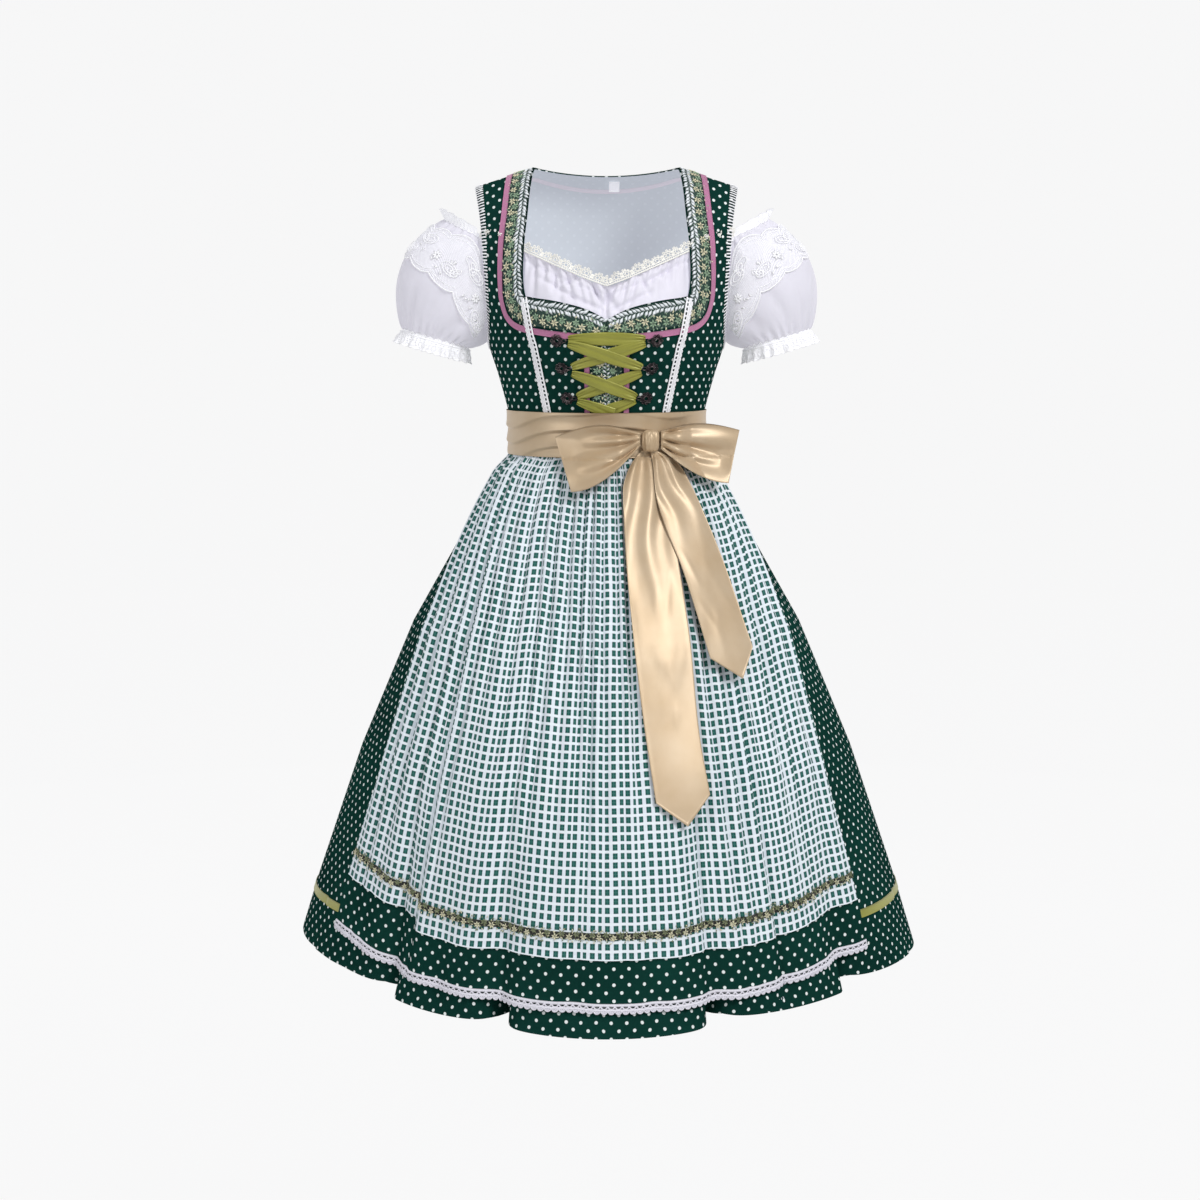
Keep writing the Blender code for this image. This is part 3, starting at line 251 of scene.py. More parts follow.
def mesh_piece(name, points, faces, looks, uv=None, which=None):
    """An object from arrays of points and faces. uv is one pair for each face corner."""
    mesh = bpy.data.meshes.new(name)
    corners = faces.shape[1]
    mesh.vertices.add(len(points))
    mesh.vertices.foreach_set("co", np.asarray(points, np.float32).ravel())
    mesh.loops.add(faces.size)
    mesh.loops.foreach_set("vertex_index", faces.astype(np.int32).ravel())
    mesh.polygons.add(len(faces))
    mesh.polygons.foreach_set("loop_start", np.arange(0, faces.size, corners, dtype=np.int32))
    if which is not None:
        mesh.polygons.foreach_set("material_index", which.astype(np.int32))
    if uv is not None:
        mesh.uv_layers.new(name="cloth").data.foreach_set("uv", np.asarray(uv, np.float32).ravel())
    mesh.update(calc_edges=True)
    mesh.shade_smooth()
    for look in looks:
        mesh.materials.append(look)
    obj = bpy.data.objects.new(name, mesh)
    bpy.context.scene.collection.objects.link(obj)
    return obj


def quads(at):
    """The faces of a grid of indices."""
    return np.stack([at[:-1, :-1], at[:-1, 1:], at[1:, 1:], at[1:, :-1]], axis=-1).reshape(-1, 4)


def shell(name, outer, inner, uv, looks, closed=False):
    """A thin closed body of cloth between two grids. The second look, if there is one, is its wrong side."""
    rows, columns = outer.shape[:2]
    at = np.arange(rows * columns).reshape(rows, columns)
    if closed:
        at = np.hstack([at, at[:, :1]])
    uv_at = np.arange(uv.shape[0] * uv.shape[1]).reshape(uv.shape[:2])
    back = at + rows * columns
    sides = [(quads(at), quads(uv_at)), (quads(back)[:, ::-1], quads(uv_at)[:, ::-1])]
    whole = slice(None)
    edges = [((0, whole), 1), ((-1, whole), -1), ((whole, 0), -1), ((whole, -1), 1)]
    for line, way in edges[:2] if closed else edges:
        pair = np.stack([at[line], back[line]])
        sides.append((quads(pair)[:, ::way], quads(np.stack([uv_at[line]] * 2))[:, ::way]))
    faces = np.concatenate([side[0] for side in sides])
    corners = np.concatenate([side[1] for side in sides])
    which = np.zeros(len(faces), int)
    first = len(sides[0][0])
    which[first:2 * first] = len(looks) - 1
    middle = outer[rows // 2, columns // 2]
    across = outer[rows // 2, min(columns // 2 + 1, columns - 1)] - middle
    along = outer[min(rows // 2 + 1, rows - 1), columns // 2] - outer[rows // 2 - 1, columns // 2]
    if np.dot(np.cross(across, along), middle - inner[rows // 2, columns // 2]) < 0:
        faces, corners = faces[:, ::-1], corners[:, ::-1]
    points = np.concatenate([outer.reshape(-1, 3), inner.reshape(-1, 3)])
    return mesh_piece(name, points, faces, looks, uv.reshape(-1, 2)[corners.ravel()], which)


def grid_normals(grid, closed):
    """Unit normals of a grid of points. A closed grid joins up along its rows."""
    along = np.gradient(grid, axis=0)
    if closed:
        across = (np.roll(grid, -1, axis=1) - np.roll(grid, 1, axis=1)) / 2
    else:
        across = np.gradient(grid, axis=1)
    return unit(np.cross(across, along))


def metric_uv(grid, closed=False):
    """Lengths along the rows and down the columns of a grid, in metres."""
    if closed:
        grid = np.concatenate([grid, grid[:, :1]], axis=1)
    across = np.linalg.norm(np.diff(grid, axis=1), axis=2)
    down = np.linalg.norm(np.diff(grid, axis=0), axis=2)
    u = np.concatenate([np.zeros((len(grid), 1)), np.cumsum(across, axis=1)], axis=1)
    v = np.concatenate([np.zeros((1, grid.shape[1])), np.cumsum(down, axis=0)])
    return np.stack([u - u[:, -1:] / 2, -v], axis=-1)


def thin(name, grid, looks, closed=False, thickness=THIN, inside=None):
    """A cloth whose outer face is a grid; the inner one lies behind it, towards a point inside."""
    normal = grid_normals(grid, closed)
    if inside is not None:
        towards = np.sum(normal * (np.asarray(inside) - grid), axis=-1).mean()
        normal = normal * (-1 if towards > 0 else 1)
    return shell(name, grid, grid - normal * thickness, metric_uv(grid, closed), looks, closed)


def fitted(name, surface, a, b, looks, lift=0.0, thickness=THIN, uv=None):
    """A cloth on a surface: its outer face is moved out by lift, and its inner one lies behind that."""
    outer = surface(a, b, lift)
    uv = metric_uv(outer) if uv is None else uv
    return shell(name, outer, surface(a, b, lift - thickness), uv, looks)


def joined_solids(name, bodies, looks):
    """One object from many small closed bodies: each is its points, its faces and the number of its look."""
    points, faces, which, start = [], [], [], 0
    for body_points, body_faces, look in bodies:
        points.append(body_points)
        faces.append(body_faces + start)
        which.append(np.full(len(body_faces), look))
        start += len(body_points)
    return mesh_piece(name, np.concatenate(points), np.concatenate(faces), looks, None, np.concatenate(which))


# ---------------------------------------------------------------- tracks: what is sewn along a line

class Track:
    """A line on a cloth, with the cloth's normals along it. Trims are placed by their distance along it."""

    def __init__(self, points, normals):
        self.points = points
        step = np.linalg.norm(np.diff(points, axis=0), axis=1)
        self.run = np.concatenate([[0], np.cumsum(step)])
        self.length = self.run[-1]
        self.normals = unit(normals)
        self.sides = unit(np.cross(self.normals, unit(np.gradient(points, axis=0))))

    def at(self, s, t=0.0, lift=0.0):
        """Points at a distance along the line, to its side and off the cloth."""
        s, t, lift = spread(s, t, lift)

        def read(values):
            return np.stack([np.interp(s, self.run, values[:, k]) for k in range(3)], axis=-1)

        return read(self.points) + t[..., None] * read(self.sides) + lift[..., None] * read(self.normals)

    def normal(self, s):
        return unit(np.stack([np.interp(s, self.run, self.normals[:, k]) for k in range(3)], axis=-1))

    def way(self, s, towards):
        """1 where distances to the side count towards a direction, and -1 where they count away from it."""
        return 1 if np.dot(self.at(s, 0.01) - self.at(s), towards) > 0 else -1


def thread(line, normal, half_width, height, loop=False):
    """A closed body with four sides along a line of points, in the first look."""
    if loop:
        along = unit(np.roll(line, -1, axis=0) - np.roll(line, 1, axis=0))
    else:
        along = unit(np.gradient(line, axis=0))
    side = unit(np.cross(normal, along)) * half_width
    up = unit(normal) * height
    rings = np.stack([line + side, line + up, line - side, line - 0.4 * up], axis=1)
    count = len(line)
    at = np.arange(count * 4).reshape(count, 4)
    at = np.hstack([at, at[:, :1]])
    if loop:
        at = np.vstack([at, at[:1]])
    faces = quads(at)[:, ::-1]
    if not loop:
        faces = np.concatenate([faces, at[:1, [0, 1, 2, 3]], at[-1:, [3, 2, 1, 0]]])
    return rings.reshape(-1, 3), faces, 0


def leaf(track, s, t, turn, length, width, lift, look=0, rise=0.5 * MM):
    """A raised leaf or petal that starts at s and t and points at an angle (radians) from the track."""
    along, out = math.cos(turn), math.sin(turn)
    wide = 0.5 * width / length
    a, b = np.array(((0, 0), (0.45, wide), (1, 0), (0.45, -wide), (0.5, 0))).T
    lifts = np.array([lift, lift, lift, lift, lift + rise])
    points = track.at(s + (a * along - b * out) * length, t + (a * out + b * along) * length, lifts)
    faces = np.array([(0, 3, 4, 4), (3, 2, 4, 4), (2, 1, 4, 4), (1, 0, 4, 4), (0, 1, 2, 3)])
    return points, faces, look


def drawn(track, strokes, lift, half_width, height=0.45 * MM):
    """Threads along strokes, each a list of (s, t) places on a track."""
    made = []
    for stroke in strokes:
        stroke = np.array(stroke, float)
        loop = len(stroke) > 3 and np.allclose(stroke[0], stroke[-1])
        stroke = stroke[:-1] if loop else stroke
        line = track.at(stroke[:, 0], stroke[:, 1], lift)
        made.append(thread(line, track.normal(stroke[:, 0]), half_width, height, loop))
    return made


def rails(track, count, rows, way, lift, height, wave=0.0):
    """Threads all along a track: rows of their distance to the side and half width, in millimetres."""
    s = np.linspace(0, track.length, count)
    ripple = wave * np.sin(s * 1900)
    bodies = []
    for distance, half in rows:
        stroke = np.stack([s, (distance + ripple) * way * MM], axis=1)
        bodies += drawn(track, [stroke], lift, half * MM, height)
    return bodies


def arc(centre_s, centre_t, radius, start, end, count):
    """A stroke along part of a circle, between two angles in degrees."""
    turn = np.radians(np.linspace(start, end, count))
    return np.stack([centre_s + radius * np.cos(turn), centre_t + radius * np.sin(turn)], axis=1)


def strip(track, half_width, lift, columns, count=None):
    """A grid along a track: rows along it and columns across it."""
    count = count or max(8, int(track.length / (3 * MM)))
    s = np.linspace(0, track.length, count)[:, None]
    return track.at(s, np.linspace(-half_width, half_width, columns)[None, :], lift)


# ---------------------------------------------------------------- the torso

def torso_size(column, z):
    """A size of the torso at a height. Near the shoulders it changes with the root of the depth."""
    rows = [(-math.sqrt(-row[0]), *row[1:]) for row in TORSO]
    return smooth(rows, column, -np.sqrt(np.maximum(-np.asarray(z, float), 0.0)))


def torso_surface(angle, z):
    """Points of the torso: an oval at each height, with the bust's cups and the slope of the shoulders."""
    z = np.minimum(z, 0.0)
    half = torso_size(1, z)
    x = half * np.sin(angle)
    facing = np.cos(angle)
    depth = np.where(facing > 0, torso_size(2, z), torso_size(3, z))
    cup = CUP_RISE * np.exp(-(((np.abs(x) - CUP_X) / CUP_SPAN) ** 2) - ((z - CUP_Z) / CUP_SPAN) ** 2)
    y = -depth * facing - cup * np.clip(facing, 0, 1)
    fall = SHOULDER_SLOPE * np.maximum(np.abs(x) - NECK_X, 0) * np.clip(1 + z / SHOULDER_REACH, 0, 1)
    return np.stack(np.broadcast_arrays(x, y, z - fall), axis=-1)


def torso_normal(angle, z):
    angle, z = spread(angle, z)
    turn, drop = 0.01, 0.0006
    across = torso_surface(angle + turn, z) - torso_surface(angle - turn, z)
    upwards = torso_surface(angle, np.minimum(z + drop, 0)) - torso_surface(angle, z - drop)
    return unit(np.cross(across, upwards))


def on_torso(angle, z, lift=0.0):
    """The torso's points moved out along its normals by lift."""
    angle, z, lift = spread(angle, z, lift)
    return torso_surface(angle, z) + torso_normal(angle, z) * lift[..., None]


def angle_at(x, z):
    """The angle of the places on the torso that show at x in the front view."""
    return np.arcsin(np.clip(np.asarray(x) / torso_size(1, z), -0.999, 0.999))


def armhole_angle(z, column):
    return np.radians(smooth(ARMHOLE, column, z))


def strap_inner_x(z):
    """The x of the edge between the side panel and the neckline, or the centre panel below it."""
    rows = [(edge_z, edge_x) for edge_x, edge_z, _, _ in NECKLINE[: CORNER + 1]] + list(PRINCESS[:2])
    return smooth(rows, 1, z)


def neckline_z(share):
    """Height of the centre panel's top edge at a share of the way from the middle to the corner."""
    rows = [(edge_x / NECKLINE[CORNER][0], edge_z) for edge_x, edge_z, _, _ in NECKLINE[CORNER:]]
    return smooth(rows, 1, share)


def torso_track(x, z, lift=0.0, sign=1, back=False):
    """A track on the torso through points given by x and z in the front or back view."""
    z = np.minimum(z, -1e-6)
    angle = sign * angle_at(x, z)
    if back:
        angle = math.pi - angle
    return Track(on_torso(angle, z, lift), torso_normal(angle, z))


# ---------------------------------------------------------------- finishes

class Nodes:
    """A material's nodes, written as expressions."""

    def __init__(self, name, **inputs):
        self.material = bpy.data.materials.new(name)
        self.material.use_nodes = True
        self.tree = self.material.node_tree
        self.shader = self.tree.nodes["Principled BSDF"]
        for key, value in inputs.items():
            self.shader.inputs[key.replace("_", " ")].default_value = value

    def feed(self, made, key, value):
        """A socket's value, or its link where the value is another node's socket."""
        if isinstance(value, bpy.types.NodeSocket):
            self.tree.links.new(value, made.inputs[key])
        else:
            made.inputs[key].default_value = value

    def node(self, kind, sources=(), **settings):
        made = self.tree.nodes.new(kind)
        for key, value in settings.items():
            setattr(made, key, value)
        for key, value in dict(sources).items():
            self.feed(made, key, value)
        return made

    def math(self, operation, *values):
        return self.node("ShaderNodeMath", enumerate(values), operation=operation).outputs[0]

    def uv(self):
        place = self.node("ShaderNodeUVMap", uv_map="cloth").outputs[0]
        split = self.node("ShaderNodeSeparateXYZ", {0: place})
        return split.outputs[0], split.outputs[1]

    def mix(self, factor, a, b):
        made = self.node("ShaderNodeMix", {0: factor}, data_type="RGBA")
        for key, value in ((6, a), (7, b)):
            self.feed(made, key, value if isinstance(value, bpy.types.NodeSocket) else (*value, 1.0))
        return made.outputs[2]

    def step(self, value, low, high):
        """0 where value is below low and 1 where it is above high."""
        sources = {0: value, 1: low, 2: high, 3: 0.0, 4: 1.0}
        return self.node("ShaderNodeMapRange", sources, interpolation_type="SMOOTHSTEP").outputs[0]

    def cell(self, value, pitch, shift=0.0):
        """Distance in metres from the middle of the nearest repeat."""
        turned = self.math("FRACT", self.math("ADD", self.math("DIVIDE", value, pitch), shift))
        return self.math("MULTIPLY", self.math("ABSOLUTE", self.math("SUBTRACT", turned, 0.5)), pitch)

    def noise(self, scale, detail=2.0):
        place = self.node("ShaderNodeTexCoord").outputs["Object"]
        sources = {"Scale": scale, "Detail": detail, "Vector": place}
        return self.node("ShaderNodeTexNoise", sources).outputs[0]

    def wave(self, value, pitch):
        return self.math("SINE", self.math("MULTIPLY", value, 2 * math.pi / pitch))

    def weave(self, u, v, pitch, relief):
        """The fine relief of a plain weave."""
        waves = self.math("MULTIPLY", self.wave(u, pitch), self.wave(v, pitch))
        self.bump(self.math("MULTIPLY_ADD", waves, 0.5, 0.5), relief, 0.6)

    def colour(self, socket):
        self.tree.links.new(socket, self.shader.inputs["Base Color"])

    def bump(self, height, distance, strength):
        sources = {"Height": height, "Distance": distance, "Strength": strength}
        self.tree.links.new(self.node("ShaderNodeBump", sources).outputs[0], self.shader.inputs["Normal"])


def srgb(red, green, blue):
    """A linear colour from its 8-bit sRGB values."""
    def linear(value):
        value = value / 255
        return value / 12.92 if value <= 0.04045 else ((value + 0.055) / 1.055) ** 2.4
    return linear(red), linear(green), linear(blue)


def dot_mask(n, u, v, pitch, radius):
    """1 on round dots in staggered rows, 0 between them."""
    masks = []
    for shift in (0.0, 0.5):
        away = n.math("POWER", n.cell(u, pitch, shift), 2.0), n.math("POWER", n.cell(v, pitch, shift), 2.0)
        far = n.math("SQRT", n.math("ADD", *away))
        masks.append(n.step(far, radius + DOT_BLUR, radius - DOT_BLUR))
    return n.math("MAXIMUM", *masks)


def dotted_cloth(name, pitch):
    """Dark green cloth printed with white dots."""
    n = Nodes(name, Roughness=0.44, Specular_IOR_Level=0.0)
    u, v = n.uv()
    shade = n.mix(n.noise(14.0), srgb(13, 43, 38), srgb(20, 63, 55))
    n.colour(n.mix(dot_mask(n, u, v, pitch, DOT_RADIUS), shade, srgb(232, 238, 236)))
    n.weave(u, v, *PRINTED_WEAVE)
    return n.material


def wrong_side(name, pitch):
    """The inside of the dotted cloth, where its dots show through faintly."""
    # the emission is a painted glow that brightens the inside, as if light came through the cloth
    n = Nodes(name, Roughness=0.85, Specular_IOR_Level=0.1, Emission_Strength=0.27)
    n.shader.inputs["Emission Color"].default_value = (0.97, 1.0, 1.10, 1)
    u, v = n.uv()
    cloth = n.mix(n.noise(9.0), srgb(160, 167, 172), srgb(172, 178, 182))
    dots = n.math("MULTIPLY", dot_mask(n, u, v, pitch, DOT_RADIUS), 0.08)
    n.colour(n.mix(dots, cloth, srgb(232, 236, 240)))
    n.weave(u, v, *PRINTED_WEAVE)
    return n.material


def check_cloth():
    """Green rectangles on white, each crossed by two pale lines."""
    n = Nodes("check_cloth_look", Roughness=0.6, Specular_IOR_Level=0.2)
    u, v = n.uv()
    from_u, from_v = n.cell(u, CHECK_PITCH[0]), n.cell(v, CHECK_PITCH[1])
    in_u = n.step(from_u, CHECK_SQUARE[0] / 2 + CHECK_BLUR, CHECK_SQUARE[0] / 2 - CHECK_BLUR)
    in_v = n.step(from_v, CHECK_SQUARE[1] / 2 + CHECK_BLUR, CHECK_SQUARE[1] / 2 - CHECK_BLUR)
    lines = n.math("MAXIMUM", n.step(from_u, *CHECK_LINE), n.step(from_v, *CHECK_LINE))
    green = n.mix(n.math("MULTIPLY", lines, 0.40), srgb(24, 84, 77), srgb(78, 140, 130))
    ground = n.mix(in_v, srgb(233, 241, 246), srgb(226, 234, 242))
    n.colour(n.mix(n.math("MULTIPLY", in_u, in_v), ground, green))
    n.weave(u, v, *COTTON_WEAVE)
    return n.material


def plain_cloth(name, dark, light, glow, roughness=0.8, alpha=1.0, weave=COTTON_WEAVE, scale=30.0):
    """Cloth of one colour. alpha lets light through, and glow is a painted glow that brightens the cloth."""
    n = Nodes(name, Roughness=roughness, Alpha=alpha, Sheen_Weight=0.1, Emission_Strength=glow)
    # painted glow: the emission brightens the cloth everywhere, standing in for light
    n.shader.inputs["Emission Color"].default_value = (0.98, 0.97, 1.03, 1)
    u, v = n.uv()
    n.colour(n.mix(n.noise(scale), srgb(*dark), srgb(*light)))
    n.weave(u, v, *weave)
    return n.material


def satin(name, dark, light, roughness, metallic):
    """Satin, whose sheen comes from fine slanting ribs."""
    n = Nodes(name, Roughness=roughness, Metallic=metallic, Sheen_Weight=0.1)
    u, v = n.uv()
    n.colour(n.mix(n.noise(22.0, 3.0), srgb(*dark), srgb(*light)))
    slanting = n.math("ADD", v, n.math("MULTIPLY", u, 0.25))
    n.bump(n.wave(slanting, SATIN_RIB[0]), SATIN_RIB[1], 0.5)
    return n.material


def ribbed_ribbon():
    """Pink ribbon with ribs along it."""
    n = Nodes("pink_ribbon_look", Roughness=0.7, Sheen_Weight=0.2)
    _, v = n.uv()
    rib = n.math("MULTIPLY_ADD", n.wave(v, RIBBON_RIB[0]), 0.5, 0.5)
    n.colour(n.mix(rib, srgb(168, 92, 132), srgb(214, 144, 182)))
    n.bump(rib, RIBBON_RIB[1], 0.8)
    return n.material


def yarn(name, dark, light, roughness=0.75, glow=0.0):
    """Embroidery thread or lace cotton, uneven from strand to strand."""
    # glow is a painted glow: emission that brightens the thread, standing in for light
    n = Nodes(name, Roughness=roughness, Sheen_Weight=0.2, Emission_Strength=glow)
    fibre = n.noise(600.0)
    n.colour(n.mix(fibre, srgb(*dark), srgb(*light)))
    n.bump(fibre, 0.15 * MM, 0.5)
    return n.material


def net(name, hole_pitch, hole_radius, alpha=1.0):
    """Lace ground: white cloth with round eyelets cut through it."""
    # the emission is a painted glow that brightens the lace, standing in for light
    n = Nodes(name, Roughness=0.8, Sheen_Weight=0.15, Emission_Strength=0.13)
    u, v = n.uv()
    holes = dot_mask(n, u, v, hole_pitch, hole_radius)
    n.colour(n.mix(n.noise(300.0), srgb(240, 240, 245), srgb(254, 254, 255)))
    n.tree.links.new(n.math("MULTIPLY", n.math("SUBTRACT", 1.0, holes), alpha), n.shader.inputs["Alpha"])
    n.bump(n.noise(900.0), 0.3 * MM, 0.6)
    return n.material


def dark_metal():
    """Cast metal, darkened, with patches worn bright."""
    n = Nodes("dark_metal_look", Roughness=0.42, Metallic=0.85)
    wear = n.step(n.noise(260.0, 3.0), 0.45, 0.7)
    n.colour(n.mix(wear, srgb(66, 58, 62), srgb(142, 130, 130)))
    n.bump(n.noise(700.0), 0.2 * MM, 0.5)
    return n.material


DOTTED = dotted_cloth("green_dotted_look", DOT_PITCH)
DOTTED_BODICE = dotted_cloth("green_dotted_bodice_look", BODICE_DOT_PITCH)
WRONG_SIDE = wrong_side("dotted_wrong_side", BODICE_DOT_PITCH)
CHECK = check_cloth()
# the number after each plain cloth's two colours is its painted glow
COTTON = plain_cloth("white_cotton_look", (209, 206, 217), (222, 219, 230), 0.10)
SHEER = plain_cloth("sheer_cloth_look", (212, 210, 219), (224, 222, 230), 0.16, 0.7, 0.62, SHEER_WEAVE, 20.0)
LABEL = plain_cloth("label_look", (236, 236, 236), (246, 246, 246), 0.30)
RUFFLE_LACE = net("eyelet_lace_look", 5.2 * MM, 0.85 * MM)
BAND_NET = net("lace_net_look", 2.2 * MM, 0.62 * MM, 0.7)
LACE_YARN = yarn("apron_lace_look", (222, 220, 230), (240, 238, 246))
# WHITE_YARN and CREAM_LACE carry a painted glow
WHITE_YARN = yarn("white_lace_look", (238, 237, 243), (254, 254, 255), glow=0.10)
CREAM_LACE = yarn("cream_lace_look", (240, 238, 229), (254, 252, 246), glow=0.05)
GOLD_SATIN = satin("gold_satin_look", (188, 160, 123), (207, 187, 159), 0.40, 0.25)
OLIVE_SATIN = satin("olive_satin_look", (138, 138, 50), (164, 162, 72), 0.36, 0.15)
PINK = ribbed_ribbon()
# a painted pink-grey shade of the neck ribbon, for the inside of the back, with a painted glow
PAINTED_RIBBON_SHADE = plain_cloth("painted_ribbon_shade_look", (176, 166, 178), (186, 176, 188), 0.30)
BRAID_GROUND = yarn("braid_ground_look", (10, 44, 36), (16, 62, 50), 0.7)
DARK_GROUND = yarn("dark_braid_ground_look", (24, 26, 22), (44, 44, 36), 0.7)
CREAM_YARN = yarn("cream_thread_look", (214, 208, 168), (242, 237, 206))
GREEN_YARN = yarn("green_thread_look", (122, 158, 124), (168, 194, 162))
OLIVE_YARN = yarn("olive_thread_look", (96, 108, 70), (146, 152, 108))
SILVER_YARN = yarn("silver_thread_look", (226, 234, 240), (250, 253, 255), 0.5)
DARK_METAL = dark_metal()


def piece(obj, slot, *nodes):
    """Every piece rides on the one body and may stand for CAD nodes. The slot is not used."""
    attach(obj, "root")
    if nodes:
        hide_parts(*nodes)


# ---------------------------------------------------------------- bodice

# start_x, start_z, end_x, end_z, width, depth: soft drag lines of the front, on each side of centre
BODICE_CREASES = (
    (0.118, -0.212, 0.094, -0.188, 0.006, -0.0022), (0.128, -0.226, 0.082, -0.238, 0.006, -0.0020),
    (0.120, -0.262, 0.080, -0.256, 0.005, -0.0020), (0.112, -0.290, 0.078, -0.282, 0.004, -0.0018),
    (0.060, -0.230, 0.063, -0.292, 0.005, -0.0022), (0.036, -0.240, 0.031, -0.292, 0.004, -0.0020),
    (0.048, -0.214, 0.052, -0.250, 0.004, -0.0018), (0.082, -0.296, 0.108, -0.272, 0.005, -0.0016),
    (0.120, -0.240, 0.090, -0.214, 0.004, -0.0014),
)
BACK_CREASES = (
    (0.020, -0.270, 0.100, -0.262, 0.006, -0.0014),
    (-0.090, -0.282, 0.010, -0.290, 0.006, -0.0014),
    (-0.110, -0.246, -0.030, -0.236, 0.007, -0.0012),
    (0.050, -0.205, 0.118, -0.186, 0.008, -0.0012),
    (-0.120, -0.190, -0.060, -0.208, 0.008, -0.0012),
)
SEAM_ROLL, SEAM_DEPTH = 1.6 * MM, 0.7 * MM
BODICE_THICKNESS = 1.2 * MM
BACK_DIP_FADE = 0.03         # how far below the shoulders the back neck's dip has faded out
HALF_TURN, HEIGHTS = np.linspace(0, math.pi, 181), np.linspace(WAIST_Z, 0, 66)
BACK_LINE = 0.5              # radians from centre back to the line that the back's heights are measured up


def torso_uv(angle, z, back):
    """Metres round the torso from centre front or back: one even map for all the panels of that side."""
    start = math.pi if back else 0
    turn = angle - start
    levels = np.minimum(HEIGHTS, -1e-6)
    rings = torso_surface(HALF_TURN[None, :] + start, levels[:, None])
    run = np.cumsum(np.linalg.norm(np.diff(rings, axis=1), axis=2), axis=1)
    run = np.concatenate([np.zeros((len(HEIGHTS), 1)), run], axis=1)
    a = np.clip(np.abs(turn) / HALF_TURN[1], 0, len(HALF_TURN) - 1.001)
    h = np.clip((z - WAIST_Z) / (HEIGHTS[1] - HEIGHTS[0]), 0, len(HEIGHTS) - 1.001)
    a0, h0 = a.astype(int), h.astype(int)
    low = run[h0, a0] + (run[h0, a0 + 1] - run[h0, a0]) * (a - a0)
    high = run[h0 + 1, a0] + (run[h0 + 1, a0 + 1] - run[h0 + 1, a0]) * (a - a0)
    if back:
        up = torso_surface(np.full(len(HEIGHTS), start + BACK_LINE), levels)
        climbed = np.concatenate([[0.0], np.cumsum(np.linalg.norm(np.diff(up, axis=0), axis=1))])
        z = WAIST_Z + np.interp(z, HEIGHTS, climbed)
    return np.stack([np.where(turn < 0, -1, 1) * (low + (high - low) * (h - h0)), z], axis=-1)


def bodice_panel(name, angle, z, back=False):
    """A panel of the bodice: its edges roll into the seams and soft creases cross it."""
    x = torso_surface(angle, z)[..., 0]
    lift = troughs(BACK_CREASES, x, z) if back else troughs(BODICE_CREASES, np.abs(x), z)
    u = metric_uv(on_torso(angle, z))[..., 0]
    from_edge = np.minimum(u - u[:, :1], u[:, -1:] - u)
    lift = lift - SEAM_DEPTH * np.exp(-((from_edge / SEAM_ROLL) ** 2))
    uv, looks = torso_uv(angle, z, back), (DOTTED_BODICE, WRONG_SIDE)
    cloth = fitted(f"{name}_cloth", on_torso, angle, z, looks, lift, BODICE_THICKNESS, uv)
    piece(cloth, "green_dotted_cloth", name)


def fine(values, between):
    """A list of places with more of them between each pair."""
    at = np.arange(len(values))
    return np.interp(np.linspace(0, len(values) - 1, (len(values) - 1) * between + 1), at, values)


def make_bodice():
    heights = fine(np.array([
        WAIST_Z, -0.298, -0.270, -0.242, UNDERARM_Z, -0.205, -0.192, -0.172, -0.147, -0.118, -0.088,
        -0.058, -0.032, -0.014, -0.004, -1e-6,
    ]), 5)
    for side, sign in SIDES:
        share, across = np.meshgrid(np.linspace(0, 1, 60), np.linspace(0, 1, 30), indexing="ij")
        z = WAIST_Z + share * (neckline_z(across) - WAIST_Z)
        angle = sign * angle_at(across * smooth(PRINCESS, 1, z), z)
        bodice_panel(f"bodice_centre_{side}", angle, z)
        z, across = np.meshgrid(heights, np.linspace(0, 1, 30), indexing="ij")
        inner = angle_at(strap_inner_x(z), z)
        angle = sign * (inner + across * (armhole_angle(z, 1) - inner))
        bodice_panel(f"bodice_side_{side}", angle, z)

    z, across = np.meshgrid(heights, np.linspace(-1, 1, 81), indexing="ij")
    angle = math.pi - across * armhole_angle(z, 2)
    inside_neck = np.clip(1 - (torso_size(1, z) * np.sin(angle) / NECK_X) ** 2, 0, 1)
    dip = BACK_EDGE[1] * inside_neck * np.clip(1 + z / BACK_DIP_FADE, 0, 1)
    bodice_panel("bodice_back", angle, z - dip, back=True)


# ---------------------------------------------------------------- stitches and label

STITCH_PITCH = 3.9 * MM
# a stitch's four points: how far along the edge, how far from it onto the cloth and how far off the cloth
STITCH = np.array(((1.2, 0.6, 0.0, 0.0), (10.0, 6.0, 1.2, -1.0), (0.2, 0.7, 0.8, -1.2))) * MM


def make_whipstitch():
    """White stitches over the armhole edge, all round each armhole."""
    for side, sign in SIDES:
        bodies = []
        for column, back in ((1, False), (2, True)):
            z = np.linspace(-0.0005, UNDERARM_Z, 260)
            edge = armhole_angle(z, column)
            angle = sign * (math.pi - edge if back else edge)
            track = Track(on_torso(angle, z), torso_normal(angle, z))
            into = sign * (1 if back else -1)
            for s in np.arange(2 * MM, track.length - 1 * MM, STITCH_PITCH):
                points = track.at(s + STITCH[0], STITCH[1] * into, STITCH[2])
                normal = np.repeat(track.normal(np.array([s])), 4, axis=0)
                bodies.append(thread(points, normal, 0.95 * MM, 0.6 * MM))
        piece(joined_solids(f"whipstitch_{side}", bodies, (WHITE_YARN,)), "white_lace")


def make_label():
    """The bare size label, hung inside the back neck."""
    z, x = np.meshgrid(np.linspace(-0.0215, -0.0100, 8), np.linspace(0.0035, 0.0165, 8), indexing="ij")
    angle = math.pi - angle_at(x, z)
    label = fitted("neck_label_cloth", on_torso, angle, z, (LABEL,), -3.6 * MM, 0.4 * MM)
    piece(label, "white_cotton", "neck_label")


# ---------------------------------------------------------------- braids and ribbons on the bodice

